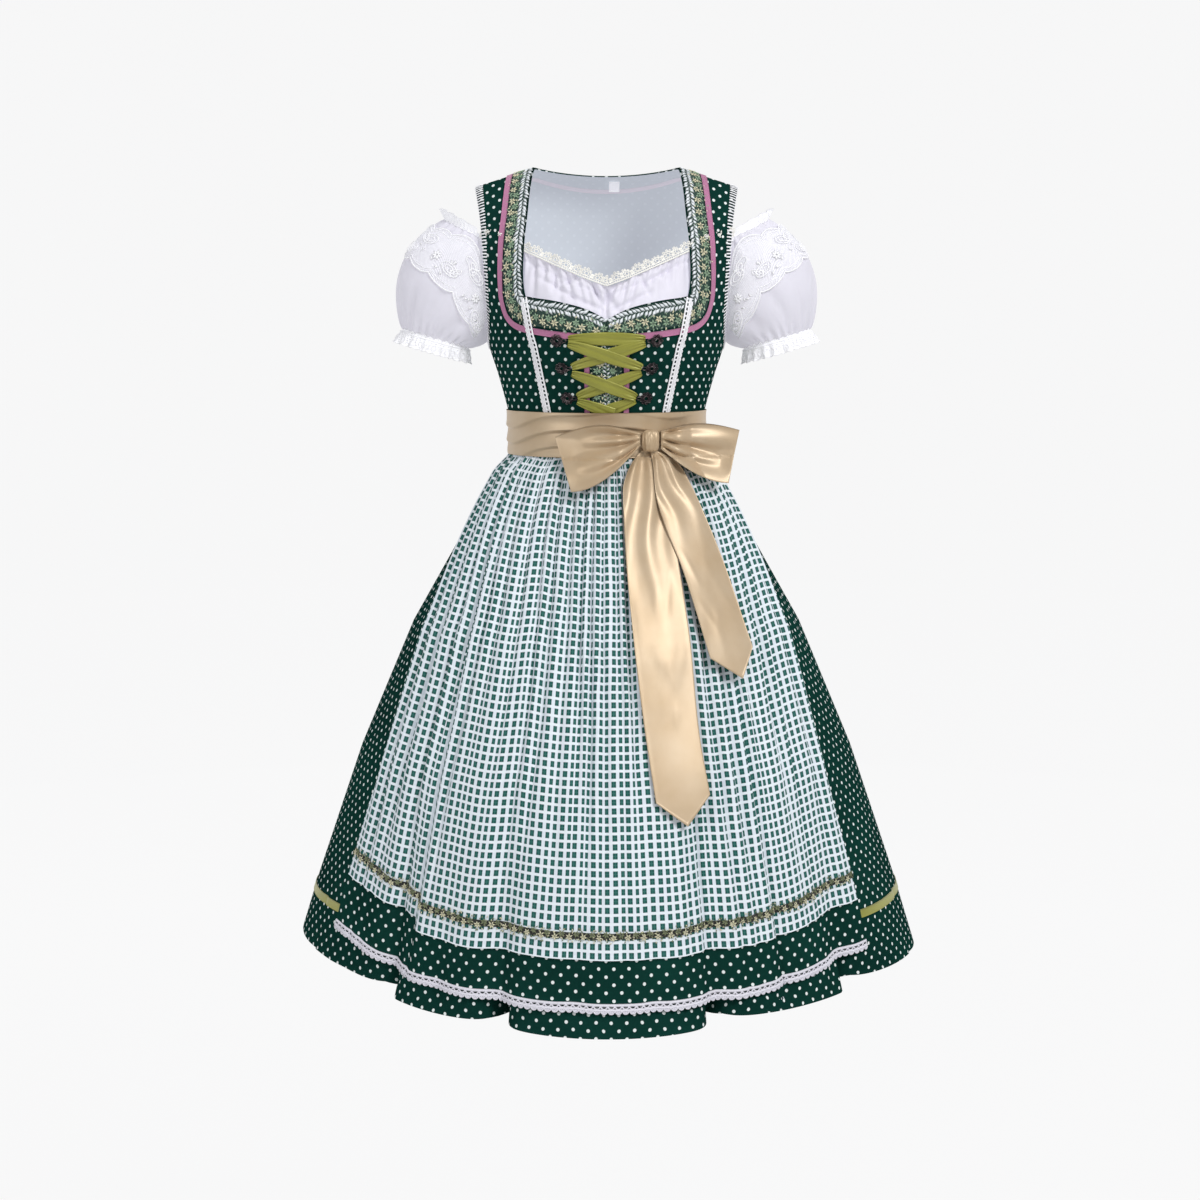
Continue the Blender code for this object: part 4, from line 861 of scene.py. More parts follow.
BRAID_LIFT, BRAID_THICKNESS = 1.1 * MM, 0.6 * MM
TRIM_LIFT = 0.6 * MM         # where embroidery starts, on the braid's ground
FLOWER_PITCH = 8.4 * MM
RAISED = 0.5 * MM            # how far leaves and flowers stand off their line
BRAID_YARNS = (SILVER_YARN, CREAM_YARN, GREEN_YARN)
STAR_COLOURS = (1, 2)        # cream and green, by their place in BRAID_YARNS
# pitch, length and width of the leaves of each row
NECK_LEAVES = (5.0 * MM, 10.2 * MM, 3.6 * MM)
BACK_LEAVES = (5.0 * MM, 8.6 * MM, 3.2 * MM)
PLACKET_LEAVES = (5.2 * MM, 7.0 * MM, 2.6 * MM)
# shares of the way from the ribbon (0) to the neckline's edge (1): the ground's edges, leaves and flowers
GROUND_SHARES, LEAF_SHARE, FLOWER_SHARE = (0.955, 0.16), 0.77, 0.38
NECK_RIBBON = (RIBBON_WIDTH / 2, 1.4 * MM, 6)    # half width, lift and columns
PLACKET_RIBBON = (3.2 * MM, 1.3 * MM, 5, -0.25)  # the same, and the height of a point inside the torso
PLACKET_HALF, PLACKET_FLOWER_X = 0.0178, 0.0095


def neckline_paths(count):
    """Points in the front view along the neckline's edge and its ribbon, from the shoulder to the middle."""
    station = np.linspace(0, 1, len(NECKLINE))
    rows = [(s, *row) for s, row in zip(station, NECKLINE)]
    at = np.linspace(0, 1, count)
    edge_x, edge_z, ribbon_x, ribbon_z = (smooth(rows, column, at) for column in (1, 2, 3, 4))
    return np.stack([edge_x, edge_z], axis=1), np.stack([ribbon_x, ribbon_z], axis=1)


def back_neck_path(share):
    """Places in the back view along the back neck: share 0 is its edge and 1 its ribbon."""
    turn = np.linspace(-math.pi / 2, math.pi / 2, 90)
    x = (BACK_EDGE[0] + share * (BACK_RIBBON[0] - BACK_EDGE[0])) * np.sin(turn)
    fall = (math.sqrt(BACK_EDGE[1]) * (1 - share) + math.sqrt(BACK_RIBBON[1]) * share) * np.cos(turn)
    return x, np.minimum(-fall**2, -1e-6)


def braid_ground(name, node, x, z, sign=1, back=False):
    """The dark ribbon of a braid, over a grid of places in the front or back view."""
    angle = sign * angle_at(x, z)
    angle = math.pi - angle if back else angle
    ground = fitted(name, on_torso, angle, z, (BRAID_GROUND,), BRAID_LIFT, BRAID_THICKNESS)
    piece(ground, "floral_braid", node)


def pink_ribbon(name, node, track, half_width, lift, columns, middle_z=-0.1):
    """A pink ribbon along a track. middle_z is the height of a point inside the torso, near the ribbon."""
    band = thin(name, strip(track, half_width, lift, columns), (PINK,), inside=(0, 0, middle_z))
    piece(band, "pink_ribbon", node)


def flowers(track, rng, size, looks, lift=RAISED):
    """A sprig of pointed star flowers in two colours with leaves between them."""
    bodies = []
    count = max(2, int(round(track.length / FLOWER_PITCH)))
    for k in range(count):
        s = (k + 0.5) * track.length / count + rng.uniform(-0.12, 0.12) * FLOWER_PITCH
        t = (0.2 if k % 2 else -0.2) * size * rng.uniform(0.7, 1.3)
        start = rng.uniform(0, math.pi)
        for p in range(6):
            turn = start + 2 * math.pi * p / 6 + rng.uniform(-0.12, 0.12)
            long = size * 0.5 * rng.uniform(0.85, 1.15)
            look = looks[k % 2]
            bodies.append(leaf(track, s, t, turn, long, 0.21 * size, lift + RAISED, look, 0.7 * MM))
        for _ in range(7):
            turn = rng.uniform(0, 2 * math.pi)
            away = rng.uniform(0.5, 0.75) * size
            place = s + away * math.cos(turn), t + 0.75 * away * math.sin(turn)
            look = looks[1] if rng.random() < 0.6 else looks[0]
            turn = turn + rng.uniform(-1, 1)
            bodies.append(leaf(track, *place, turn, 0.36 * size, 0.17 * size, lift, look))
    return bodies


def leaf_row(track, rng, pitch, length, width):
    """Leaves that stand off a stem in pairs, one to each side, none quite like the next."""
    bodies = []
    for s in np.arange(pitch / 2, track.length - length * 0.6, pitch):
        for way in (-1, 1):
            turn = way * (0.74 + rng.uniform(-0.17, 0.17))
            long = rng.uniform(0.78, 1.08) * length
            wide = rng.uniform(0.85, 1.2) * width
            bodies.append(leaf(track, s + 0.22 * way * pitch, 0.0, turn, long, wide, RAISED))
    return bodies


def make_neck_trims():
    rng = np.random.default_rng(7)
    edge, ribbon = neckline_paths(160)

    def line(share):
        """The path a share of the way from the ribbon to the edge, ended just beside the middle."""
        path = ribbon + (edge - ribbon) * share
        path[-1, 0] = 0.0003
        return path

    for side, sign in SIDES:
        share = np.linspace(0, 1, 9)[:, None, None]
        outer, inner = (line(place)[None] for place in GROUND_SHARES)
        grid = outer * (1 - share) + inner * share
        z = np.minimum(grid[..., 1], -1e-6)
        braid_ground(f"neck_braid_{side}_ground", f"neck_braid_{side}", grid[..., 0], z, sign)
        bodies = leaf_row(torso_track(*line(LEAF_SHARE).T, TRIM_LIFT, sign), rng, *NECK_LEAVES)
        track = torso_track(*line(FLOWER_SHARE).T, TRIM_LIFT, sign)
        bodies += flowers(track, rng, 11.5 * MM, STAR_COLOURS)
        piece(joined_solids(f"neck_flowers_{side}", bodies, BRAID_YARNS), "floral_braid")

    both = np.concatenate([ribbon * (-1, 1), ribbon[-2::-1]])
    pink_ribbon("neck_ribbon_band", "neck_ribbon", torso_track(*both.T), *NECK_RIBBON)
    back = torso_track(*back_neck_path(1.0), back=True)
    pink_ribbon("neck_ribbon_back_band", "neck_ribbon_back", back, *NECK_RIBBON)

    x, z = np.stack([back_neck_path(share) for share in np.linspace(0.05, 0.84, 8)], axis=1)
    braid_ground("neck_braid_back_ground", "neck_braid_back", x, z, back=True)
    track = torso_track(*back_neck_path(0.22), TRIM_LIFT, back=True)
    bodies = leaf_row(track, rng, *BACK_LEAVES)
    track = torso_track(*back_neck_path(0.58), TRIM_LIFT, back=True)
    bodies += flowers(track, rng, 11.0 * MM, STAR_COLOURS)

    # painted shade: a pink-grey band on the inner face of the back, where the neck ribbon outside tints and
    # shades the light that comes through the cloth
    shade = torso_track(*back_neck_path(1.0), -1.4 * MM, back=True)
    painted_shade_line = Track(shade.points - shade.normals * 0.1 * MM, shade.normals)
    grid = strip(painted_shade_line, RIBBON_WIDTH / 2, 0.0, 4)
    band = thin("neck_ribbon_painted_shade", grid, (PAINTED_RIBBON_SHADE,), thickness=0.1 * MM, inside=(0, 0, -0.1))
    piece(band, "green_dotted_cloth")
    piece(joined_solids("neck_flowers_back", bodies, BRAID_YARNS), "floral_braid")


TAPE_ENDS = (-0.3000, -0.1600)
TAPE_OVER_Z = -0.215         # above this the tapes lie over the neckline's ribbon and braid
# distance from the seam and half width of each rail, in millimetres
TAPE_RAILS = ((-4.2, 1.2), (0.4, 1.2), (2.4, 0.8))
TAPE_PITCH = 5.4 * MM


def make_lace_tapes():
    """Two lace tapes with a ladder of slots, straight on one edge and scalloped on the other."""
    z = np.linspace(*TAPE_ENDS, 90)
    x = straight(PRINCESS, 1, z)
    over = np.clip((z - TAPE_OVER_Z) / 0.010, 0, 1) * 2.0 * MM
    lift = 0.3 * MM
    for side, sign in SIDES:
        angle = sign * angle_at(x, z)
        track = Track(on_torso(angle, z, 1.0 * MM + over), torso_normal(angle, z))
        out = track.way(0.05, (sign, 0, 0))
        bodies = rails(track, 60, TAPE_RAILS, out, lift, 0.6 * MM)
        for s in np.arange(2 * MM, track.length - 2 * MM, TAPE_PITCH):
            post = [(s, out * -3.6 * MM), (s + 0.4 * MM, out * -1.9 * MM), (s, 0.0)]
            bodies += drawn(track, [post], lift, 1.3 * MM)
            bodies += drawn(track, [arc(s, out * 2.6 * MM, 2.6 * MM, 0, out * 180, 9)], lift, 0.9 * MM)
            bodies += drawn(track, [arc(s, out * 2.8 * MM, 1.0 * MM, 0, out * 180, 5)], lift, 0.6 * MM)
        threads = joined_solids(f"lace_tape_{side}_threads", bodies, (WHITE_YARN,))
        piece(threads, "white_lace", f"lace_tape_{side}")


def make_placket():
    """Behind the lacing: two pink ribbons with a braid of flowers and leaves between them."""
    rng = np.random.default_rng(3)
    z = np.linspace(PLACKET_END_Z - 0.01, PLACKET_TOP_Z + 0.004, 60)
    for side, sign in SIDES:
        track = torso_track(np.full(60, PLACKET_RIBBON_X), z, sign=sign)
        node = f"placket_ribbon_{side}"
        pink_ribbon(f"{node}_band", node, track, *PLACKET_RIBBON)
    rows, x = np.meshgrid(z, np.linspace(-PLACKET_HALF, PLACKET_HALF, 12), indexing="ij")
    braid_ground("placket_ground", "placket_braid", x, rows)
    bodies = []
    for place in (-PLACKET_FLOWER_X, PLACKET_FLOWER_X):
        bodies += flowers(torso_track(np.full(60, place), z, TRIM_LIFT), rng, 12.0 * MM, STAR_COLOURS)
    bodies += leaf_row(torso_track(np.zeros(60), z, TRIM_LIFT), rng, *PLACKET_LEAVES)
    piece(joined_solids("placket_flowers", bodies, BRAID_YARNS), "floral_braid")


# ---------------------------------------------------------------- hooks and lacing

PLATE_LIFT = 0.6 * MM
# radius, points, half width and height of the rosette's two plain rings, radii and heights in millimetres
ROSETTE_RINGS = ((3.0, 16, 0.9, 1.5), (5.0, 20, 0.55, 1.0))
PETAL_COUNT, PETAL_PLACE, PETAL_RADIUS = 9, 6.0 * MM, 1.7 * MM
TONGUE_RADIUS, TONGUE_SQUEEZE, TONGUE_INSET = 3.0 * MM, 0.62, 3.4 * MM


def rosette(centre, normal, inwards, up):
    """One cast hook: two beaded rings, petals on spokes, and a wire tongue for the lacing."""
    def ring(radius, count, middle=(0.0, 0.0), squeeze=1.0):
        turn = np.linspace(0, 2 * math.pi, count, endpoint=False)
        return (
            centre + np.outer(middle[0] + radius * np.cos(turn), inwards)
            + np.outer(middle[1] + radius * squeeze * np.sin(turn), up)
        )

    def wire(line, half, high, loop=True):
        return thread(line, np.repeat(normal[None], len(line), axis=0), half * MM, high * MM, loop)

    bodies = [wire(ring(radius * MM, count), half, high) for radius, count, half, high in ROSETTE_RINGS]
    for k in range(PETAL_COUNT):
        turn = 2 * math.pi * (k + 0.5) / PETAL_COUNT
        petal = (PETAL_PLACE * math.cos(turn), PETAL_PLACE * math.sin(turn))
        bodies.append(wire(ring(PETAL_RADIUS, 8, petal), 0.6, 1.2))
        spoke = np.linspace(0.55, 1.0, 3)[:, None] * (petal[0] * inwards + petal[1] * up) + centre
        bodies.append(wire(spoke, 0.5, 1.1, False))
    tongue = ring(TONGUE_RADIUS, 14, (HOOK_TONGUE - TONGUE_INSET, 0), TONGUE_SQUEEZE)
    return [*bodies, wire(tongue, 0.7, 1.0)]


def make_hooks():
    for number, (z, x, lift) in enumerate(HOOKS, 1):
        for side, sign in SIDES:
            angle, height = sign * angle_at(np.array([x]), np.array([z])), np.array([z])
            centre, normal = on_torso(angle, height, lift + PLATE_LIFT)[0], torso_normal(angle, height)[0]
            level = np.cross(normal, (0, 0, 1.0))
            inwards = unit(level) * (1 if level[0] * sign < 0 else -1)
            bodies = rosette(centre, normal, inwards, unit(np.cross(normal, inwards)))
            obj = joined_solids(f"hook_{side}_{number}_rosette", bodies, (DARK_METAL,))
            piece(obj, "dark_metal", f"hook_{side}_{number}")


TIGHT_HALF, EDGE_TURN = 3.6 * MM, 0.6 * MM    # half width at a hook, what the turned edges take up
RIBBON_WAVE, RIBBON_CREASE, RIBBON_SWAY = 1.1 * MM, 0.8 * MM, 0.5 * MM
HEM_RIDGE, EDGE_ROLL = 0.3 * MM, 1.2 * MM


def make_lacing():
    """Satin ribbon between the hooks, gathered into each hook, with turned edges and creases along it."""
    share = np.linspace(0, 1, 60)
    for order, (name, x0, z0, x1, z1, lift) in enumerate(LACING):
        rng = np.random.default_rng(40 + order)
        track = torso_track(x0 + share * (x1 - x0), z0 + share * (z1 - z0), lift + 0.2 * MM)
        s = np.linspace(0, track.length, 60)[:, None]
        t = np.linspace(-1, 1, 26)[None, :]
        span = math.pi / 2 if name.startswith("lacing_end") else math.pi
        open_out = np.sin(span * np.clip(s / track.length, 0, 1)) ** 0.5
        half = TIGHT_HALF + (LACING_WIDTH / 2 - EDGE_TURN - TIGHT_HALF) * open_out
        waves = RIBBON_WAVE * (1 - open_out) ** 1.5 * np.cos(3.3 * math.pi * t + rng.uniform(0, 6))
        line = 0.4 * np.cos(2.2 * s / track.length + rng.uniform(-1, 1))
        crease = -RIBBON_CREASE * np.exp(-(((t - line) / 0.30) ** 2))
        folded = HEM_RIDGE * ease(np.abs(t), 0.68, 0.82) - EDGE_ROLL * np.abs(t) ** 10
        grid = track.at(s, half * t, waves + crease + folded + RIBBON_SWAY * np.sin(1.6 * t + s * 50))
        ribbon = thin(f"{name}_ribbon", grid, (OLIVE_SATIN,), inside=(0, 0, -0.25))
        piece(ribbon, "olive_satin", name)


# ---------------------------------------------------------------- blouse

def blouse_edge(z, column):
    """The angle of the blouse's armhole edge: it shows a little beyond the bodice's."""
    angle = smooth(ARMHOLE, column, z - BLOUSE_UNDERARM_RISE) + BLOUSE_MARGIN
    return np.radians(np.minimum(angle, 90.0))


GATHER_COUNT = 38


def blouse_gathers(across, below):
    """Uneven gathers below the neckline: a puckered casing, then folds that spread and fade lower down."""
    rng = np.random.default_rng(11)
    total = np.zeros(np.broadcast(across, below).shape)
    places = np.linspace(-1, 1, GATHER_COUNT)
    for place in places + rng.uniform(-0.014, 0.014, GATHER_COUNT):
        reach = rng.uniform(0.018, 0.046) * (1.2 - 0.4 * abs(place))
        lean = rng.uniform(-0.5, 0.5) - 2.2 * np.sign(place) * math.exp(-((place / 0.30) ** 2))
        depth = rng.uniform(0.55, 1.0)
        wide = 0.012 + 0.30 * np.clip(below, 0, 0.06)
        away = (across - place - lean * below) / wide
        strength = np.exp(-((below / reach) ** 2)) * (0.72 + 0.28 * ease(below, 0.002, 0.010))
        total = total + depth * np.exp(-(away**2)) * strength
    casing = np.exp(-(((below - 0.011) / 0.0022) ** 2))
    return np.minimum(total, 1.3) + 0.22 * casing


# start_x, start_z, end_x, end_z, width, depth of the front's larger folds
BLOUSE_FOLDS = (
    (-0.090, -0.096, -0.092, -0.124, 0.0023, -0.0034), (-0.072, -0.102, -0.075, -0.132, 0.0026, -0.0039),
    (-0.058, -0.105, -0.066, -0.148, 0.0028, -0.0041), (-0.044, -0.112, -0.052, -0.126, 0.0022, -0.0030),
    (-0.036, -0.113, -0.031, -0.128, 0.0021, -0.0028), (-0.009, -0.124, -0.062, -0.142, 0.0032, -0.0044),
    (-0.003, -0.166, -0.030, -0.122, 0.0028, -0.0039), (-0.006, -0.172, -0.052, -0.152, 0.0029, -0.0034),
    (0.002, -0.166, 0.017, -0.120, 0.0026, -0.0039), (0.004, -0.150, 0.046, -0.116, 0.0030, -0.0041),
    (0.008, -0.172, 0.054, -0.150, 0.0029, -0.0037), (0.030, -0.108, 0.052, -0.154, 0.0029, -0.0039),
    (0.040, -0.104, 0.048, -0.128, 0.0024, -0.0032), (0.066, -0.098, 0.060, -0.126, 0.0026, -0.0039),
    (0.080, -0.094, 0.076, -0.146, 0.0029, -0.0034), (0.000, -0.142, 0.000, -0.184, 0.0016, -0.0046),
    (-0.082, -0.134, -0.040, -0.156, 0.0029, -0.0030), (0.086, -0.118, 0.044, -0.142, 0.0028, -0.0030),
)
# name, column in ARMHOLE and BLOUSE_TOP, columns and rows of its grid, flat size
BLOUSE_PARTS = (("blouse_front", 1, 300, 60, (0.42, 0.17)), ("blouse_back", 2, 90, 20, (0.34, 0.14)))
TOP_RISE = 3.5 * MM          # the casing stands a little over the solid's edge
GATHER_DEPTH = 6.2 * MM
FOLD_STRENGTH = 1.35
BUST_DIP = 3.0 * MM          # how far the blouse sinks where the laced bodice covers it
LACE_PITCH = 13.6 * MM
LACE_RAILS = ((0.8, 1.0), (3.6, 0.7))    # millimetres above the lace's foot, half width
LACE_LIFT = 0.2 * MM
# millimetres above the lace's foot and radius of each scallop, of its ring and of its picots' circle
SCALLOP_AT, SCALLOP_RADIUS = 4.4, 6.2
RING_AT, RING_RADIUS = 6.4, 2.3
PICOTS_RADIUS, PICOT_RADIUS = 7.5, 1.15
SPOKES = (0.1, 0.8, 1.57, 2.34, 3.04)    # radians round each scallop's ring
SPOKE_REACH = 6.0


def casing_top(across, column):
    """Height of the gathered neckline at shares of the way to the armhole."""
    return smooth(BLOUSE_TOP, column, np.abs(across)) + TOP_RISE * (1 - np.abs(across) ** 3)


def make_blouse_body():
    for name, column, columns, rows, flat in BLOUSE_PARTS:
        across = np.linspace(-1, 1, columns + 1)[None, :]
        share = np.linspace(0, 1, rows)[:, None]
        top = casing_top(across, column)
        z = BLOUSE_HEM_Z + (1 - (1 - share) ** 1.5) * (top - BLOUSE_HEM_Z)
        angle = across * blouse_edge(z, column)
        lift = BLOUSE_LIFT - GATHER_DEPTH * blouse_gathers(across, top - z)
        if column == 1:
            folds = troughs(BLOUSE_FOLDS, torso_surface(angle, z)[..., 0], z)
            lift = lift + FOLD_STRENGTH * folds - BUST_DIP * ease(-z, 0.190, 0.205)
        else:
            angle = math.pi - angle
        cloth = fitted(f"{name}_cloth", on_torso, angle, z, (COTTON,), lift)
        piece(cloth, "white_cotton", name)


def make_neckline_lace():
    """Crocheted edging: scallops with a ring, spokes and picots over a ladder."""
    across = np.linspace(-1, 1, 260)
    foot = casing_top(across, 1) - 1 * MM
    angle = across * blouse_edge(foot, 1)
    tilt = 0.42 * np.outer(np.sin(across * 43 + np.sin(across * 9)), (0, 0, 1))
    track = Track(on_torso(angle, foot, BLOUSE_LIFT + 0.3 * MM), torso_normal(angle, foot) + tilt)
    count = int(track.length / LACE_PITCH)
    pitch = track.length / count
    way = track.way(0.1, (0, 0, 1))
    up = way * MM
    bodies = rails(track, 220, LACE_RAILS, way, LACE_LIFT, 0.7 * MM, wave=0.25)

    def around(s, height, radius, turn):
        """The place at an angle on a circle whose middle is a height above the lace's foot."""
        return s + radius * MM * math.cos(turn), (height + radius * math.sin(turn)) * up

    for s in (np.arange(count) + 0.5) * pitch:
        strokes = [arc(s, SCALLOP_AT * up, SCALLOP_RADIUS * MM, -way * 12, way * 192, 15)]
        strokes.append(arc(s, RING_AT * up, RING_RADIUS * MM, 0, 360, 9))
        for turn in np.radians(range(0, 181, 30)):
            picot = around(s, SCALLOP_AT, PICOTS_RADIUS, turn)
            strokes.append(arc(*picot, PICOT_RADIUS * MM, 0, 360, 7))
        bodies += drawn(track, strokes, LACE_LIFT, 0.70 * MM, 0.6 * MM)
        inner = [around(s, RING_AT, RING_RADIUS, turn) for turn in SPOKES]
        outer = [around(s, SCALLOP_AT, SPOKE_REACH, turn) for turn in SPOKES]
        rungs = s + np.arange(-2, 3) * pitch / 5
        ladder = [[(rung, LACE_RAILS[0][0] * up), (rung, LACE_RAILS[1][0] * up)] for rung in rungs]
        bodies += drawn(track, [*zip(inner, outer), *ladder], LACE_LIFT, 0.55 * MM)
    piece(joined_solids("neckline_lace_threads", bodies, (CREAM_LACE,)), "white_lace", "neckline_lace")


def sleeve_root(turn):
    """The sleeve's upper end: free over its crown, and on the edge of the blouse below that."""
    size = np.abs(turn)
    back = turn < 0
    seam_share = np.clip((size - math.pi / 2) / (math.pi / 2), 0, 1)
    turned = np.minimum(size, math.pi / 2)
    low = UNDERARM_Z + BLOUSE_UNDERARM_RISE
    points = np.zeros((len(turn), 3))
    for behind, column in ((False, 1), (True, 2)):
        top = smooth(BLOUSE_TOP, column, 1.0)
        z = top + (low - top) * np.sin(seam_share * math.pi / 2)
        angle, start = blouse_edge(z, column), blouse_edge(np.array([top]), column)
        if behind:
            angle, start = math.pi - angle, math.pi - start
        seam = on_torso(angle, z, BLOUSE_LIFT)
        end = on_torso(start, np.array([top]), BLOUSE_LIFT)[0]
        free = np.stack([
            end[0] + (CROWN[0] - end[0]) * np.cos(turned),
            end[1] * np.sin(turned),
            end[2] + (CROWN[2] - end[2]) * np.cos(turned),
        ], axis=1)
        chosen = np.where((size > math.pi / 2)[:, None], seam, free)
        points[back == behind] = chosen[back == behind]
    return points


def cuff_ring(turn, grow=0.0, drop=0.0):
    """Points round the sleeve's tilted lower end, moved outwards and down from it."""
    tilt = math.radians(CUFF_TILT)
    outwards = np.array([math.cos(tilt), 0, math.sin(tilt)])
    down = np.array([math.sin(tilt), 0, -math.cos(tilt)])
    forwards = np.array([0, -1, 0])
    return (
        np.array(CUFF_CENTRE) + np.multiply.outer(np.broadcast_to(drop, np.shape(turn)), down)
        + np.multiply.outer(np.cos(turn) * (CUFF_HALF + grow), outwards)
        + np.multiply.outer(np.sin(turn) * (CUFF_DEPTH + grow), forwards)
    )


PUFF_OUTWARDS = (0.93, 0, 0.36)


def sleeve_points(turn, share):
    """Points of the left sleeve at one share of its length for each turn."""
    root, cuff = sleeve_root(turn), cuff_ring(turn)
    puff = PUFF_UNDER + (PUFF - PUFF_UNDER) * np.sqrt(0.5 + 0.5 * np.cos(turn))
    direction = np.outer(np.cos(turn), PUFF_OUTWARDS) + np.outer(np.sin(turn), (0, -1, 0))
    share = share[:, None]
    swell = np.sin(math.pi * np.clip(share, 0, 1)) ** 0.8
    return root + share * (cuff - root) + swell * (puff[:, None] * direction)


# start_turn, start_share, end_turn, end_share, width, depth
SLEEVE_FOLDS = (
    (0.2, 0.55, 0.5, 0.95, 0.10, -0.0030), (0.9, 0.60, 0.8, 0.97, 0.09, -0.0025),
    (1.5, 0.50, 1.2, 0.95, 0.11, -0.0030), (-0.4, 0.58, -0.5, 0.96, 0.10, -0.0030),
    (-1.2, 0.55, -1.0, 0.95, 0.11, -0.0028), (2.1, 0.45, 1.8, 0.9, 0.12, -0.0030),
    (-2.0, 0.45, -1.8, 0.92, 0.12, -0.0028), (0.3, 0.03, 0.5, 0.35, 0.09, -0.0028),
    (1.0, 0.03, 1.1, 0.40, 0.10, -0.0028), (-0.6, 0.03, -0.5, 0.38, 0.10, -0.0028),
    (-1.3, 0.03, -1.2, 0.35, 0.10, -0.0025), (1.9, 0.03, 1.7, 0.30, 0.10, -0.0022),
)
SLEEVE_COLUMNS = 168
SLEEVE_GATHERS, SLEEVE_GATHER_DEPTH = 30, 1.3 * MM


def make_sleeves():
    rng = np.random.default_rng(5)
    turn = np.linspace(-math.pi, math.pi, SLEEVE_COLUMNS, endpoint=False)
    share = np.linspace(0, 1, 56)
    phase = np.cumsum(rng.uniform(0.7, 1.3, SLEEVE_COLUMNS))
    phase = 2 * math.pi * SLEEVE_GATHERS * phase / phase[-1]
    base = np.stack([sleeve_points(turn, np.full(SLEEVE_COLUMNS, s)) for s in share])
    normal = grid_normals(base, True)
    outward = base - base.mean(axis=1, keepdims=True)
    normal *= np.sign(np.sum(normal * outward, axis=-1, keepdims=True))
    ends = np.exp(-((share / 0.16) ** 2)) + 1.1 * np.exp(-(((1 - share) / 0.13) ** 2))
    gather = SLEEVE_GATHER_DEPTH * ends[:, None] * (np.cos(phase)[None, :] - 1)
    folds = troughs(SLEEVE_FOLDS, turn[None, :], share[:, None])
    cloth = base + normal * (gather + folds)[..., None]
    for side, sign in SIDES:
        mirror = np.array([sign, 1, 1])
        middle = (sign * 0.2, 0, -0.14)
        obj = thin(f"sleeve_{side}_cloth", cloth * mirror, (SHEER,), True, 0.3 * MM, middle)
        piece(obj, "sheer_cloth", f"sleeve_{side}")
        make_cuff_ruffle(side, mirror)
        make_shoulder_ruffle(side, mirror)
        make_sleeve_band(side, mirror, base, normal)


CUFF_FLARE, CUFF_PINCH = 3.6 * MM, 1.6 * MM
CUFF_WAVE, CUFF_RIPPLE = 2.6 * MM, 1.0 * MM


def cuff_line(turn, row, stand, scallop=1.0):
    """A line round the cuff's ruffle at a share of its height: the ruffle flares out in waves."""
    flare = np.clip(row, 0, 1)
    wave = CUFF_WAVE * np.sin(turn * 19 + 0.6 * np.sin(turn * 3)) + CUFF_RIPPLE * np.sin(turn * 31 + 1.0)
    drop = CUFF_RUFFLE * row * (1 - 0.14 * (1 - scallop) * flare**3)
    return cuff_ring(turn, flare * (CUFF_FLARE + wave) + stand, drop)


def make_cuff_ruffle(side, mirror):
    turn = np.linspace(-math.pi, math.pi, 320, endpoint=False)
    scallop = np.abs(np.sin(turn * 17)) ** 0.6
    rows = (-0.08, 0.0, 0.1, 0.25, 0.4, 0.55, 0.7, 0.85, 0.94, 1.0)
    pinched = [-CUFF_PINCH * math.exp(-((row / 0.12) ** 2)) for row in rows]
    grid = np.stack([cuff_line(turn, row, pinch, scallop) for row, pinch in zip(rows, pinched)]) * mirror
    middle = np.array(CUFF_CENTRE)
    ruffle = thin(f"cuff_ruffle_{side}_lace", grid, (RUFFLE_LACE,), True, 0.4 * MM, middle * mirror)
    piece(ruffle, "white_lace", f"cuff_ruffle_{side}")
    bodies = []
    for row in (0.16, 1.0):    # the seam and the hem
        line = cuff_line(turn, row, 0.3 * MM, scallop)
        bodies.append(thread(line * mirror, (line - middle) * mirror, 0.55 * MM, 0.6 * MM, True))
    loop = np.linspace(0, 2 * math.pi, 9, endpoint=False)
    for place in np.linspace(-math.pi, math.pi, 34, endpoint=False):
        line = cuff_line(place + 0.055 * np.cos(loop), 0.62 + 0.2 * np.sin(loop), 0.4 * MM)
        bodies.append(thread(line * mirror, (line - middle) * mirror, 0.5 * MM, 0.5 * MM, True))
    piece(joined_solids(f"cuff_ruffle_{side}_threads", bodies, (WHITE_YARN,)), "white_lace")


def make_shoulder_ruffle(side, mirror):
    """The ruffle that stands up along the sleeve's head."""
    top = np.linspace(-1.50, 1.50, 220)
    foot = sleeve_root(top)
    scallop = np.abs(np.sin(top * 11)) ** 0.6
    ends = 1 - 0.35 * (np.abs(top) / 1.5) ** 4
    waves = 2.0 * MM * np.sin(top * 21 + 0.7 * np.sin(top * 4)) + 0.8 * MM * np.sin(top * 37)
    grids = []
    for row in (-0.15, 0.0, 0.12, 0.3, 0.5, 0.7, 0.86, 1.0):
        flare = np.clip(row, 0, 1)
        wave = flare * waves
        high = SHOULDER_RUFFLE * row * (1 - 0.16 * (1 - scallop) * flare**3) * ends
        out = [np.cos(top) * (4.0 * MM * row) + wave, -np.sin(top) * 1.5 * MM * row + 0.5 * wave, high]
        grids.append(foot + np.stack(out, axis=1))
    grid, middle = np.stack(grids) * mirror, (0.15, 0, -0.06) * mirror
    ruffle = thin(f"shoulder_ruffle_{side}_lace", grid, (RUFFLE_LACE,), thickness=0.4 * MM, inside=middle)
    piece(ruffle, "white_lace", f"shoulder_ruffle_{side}")


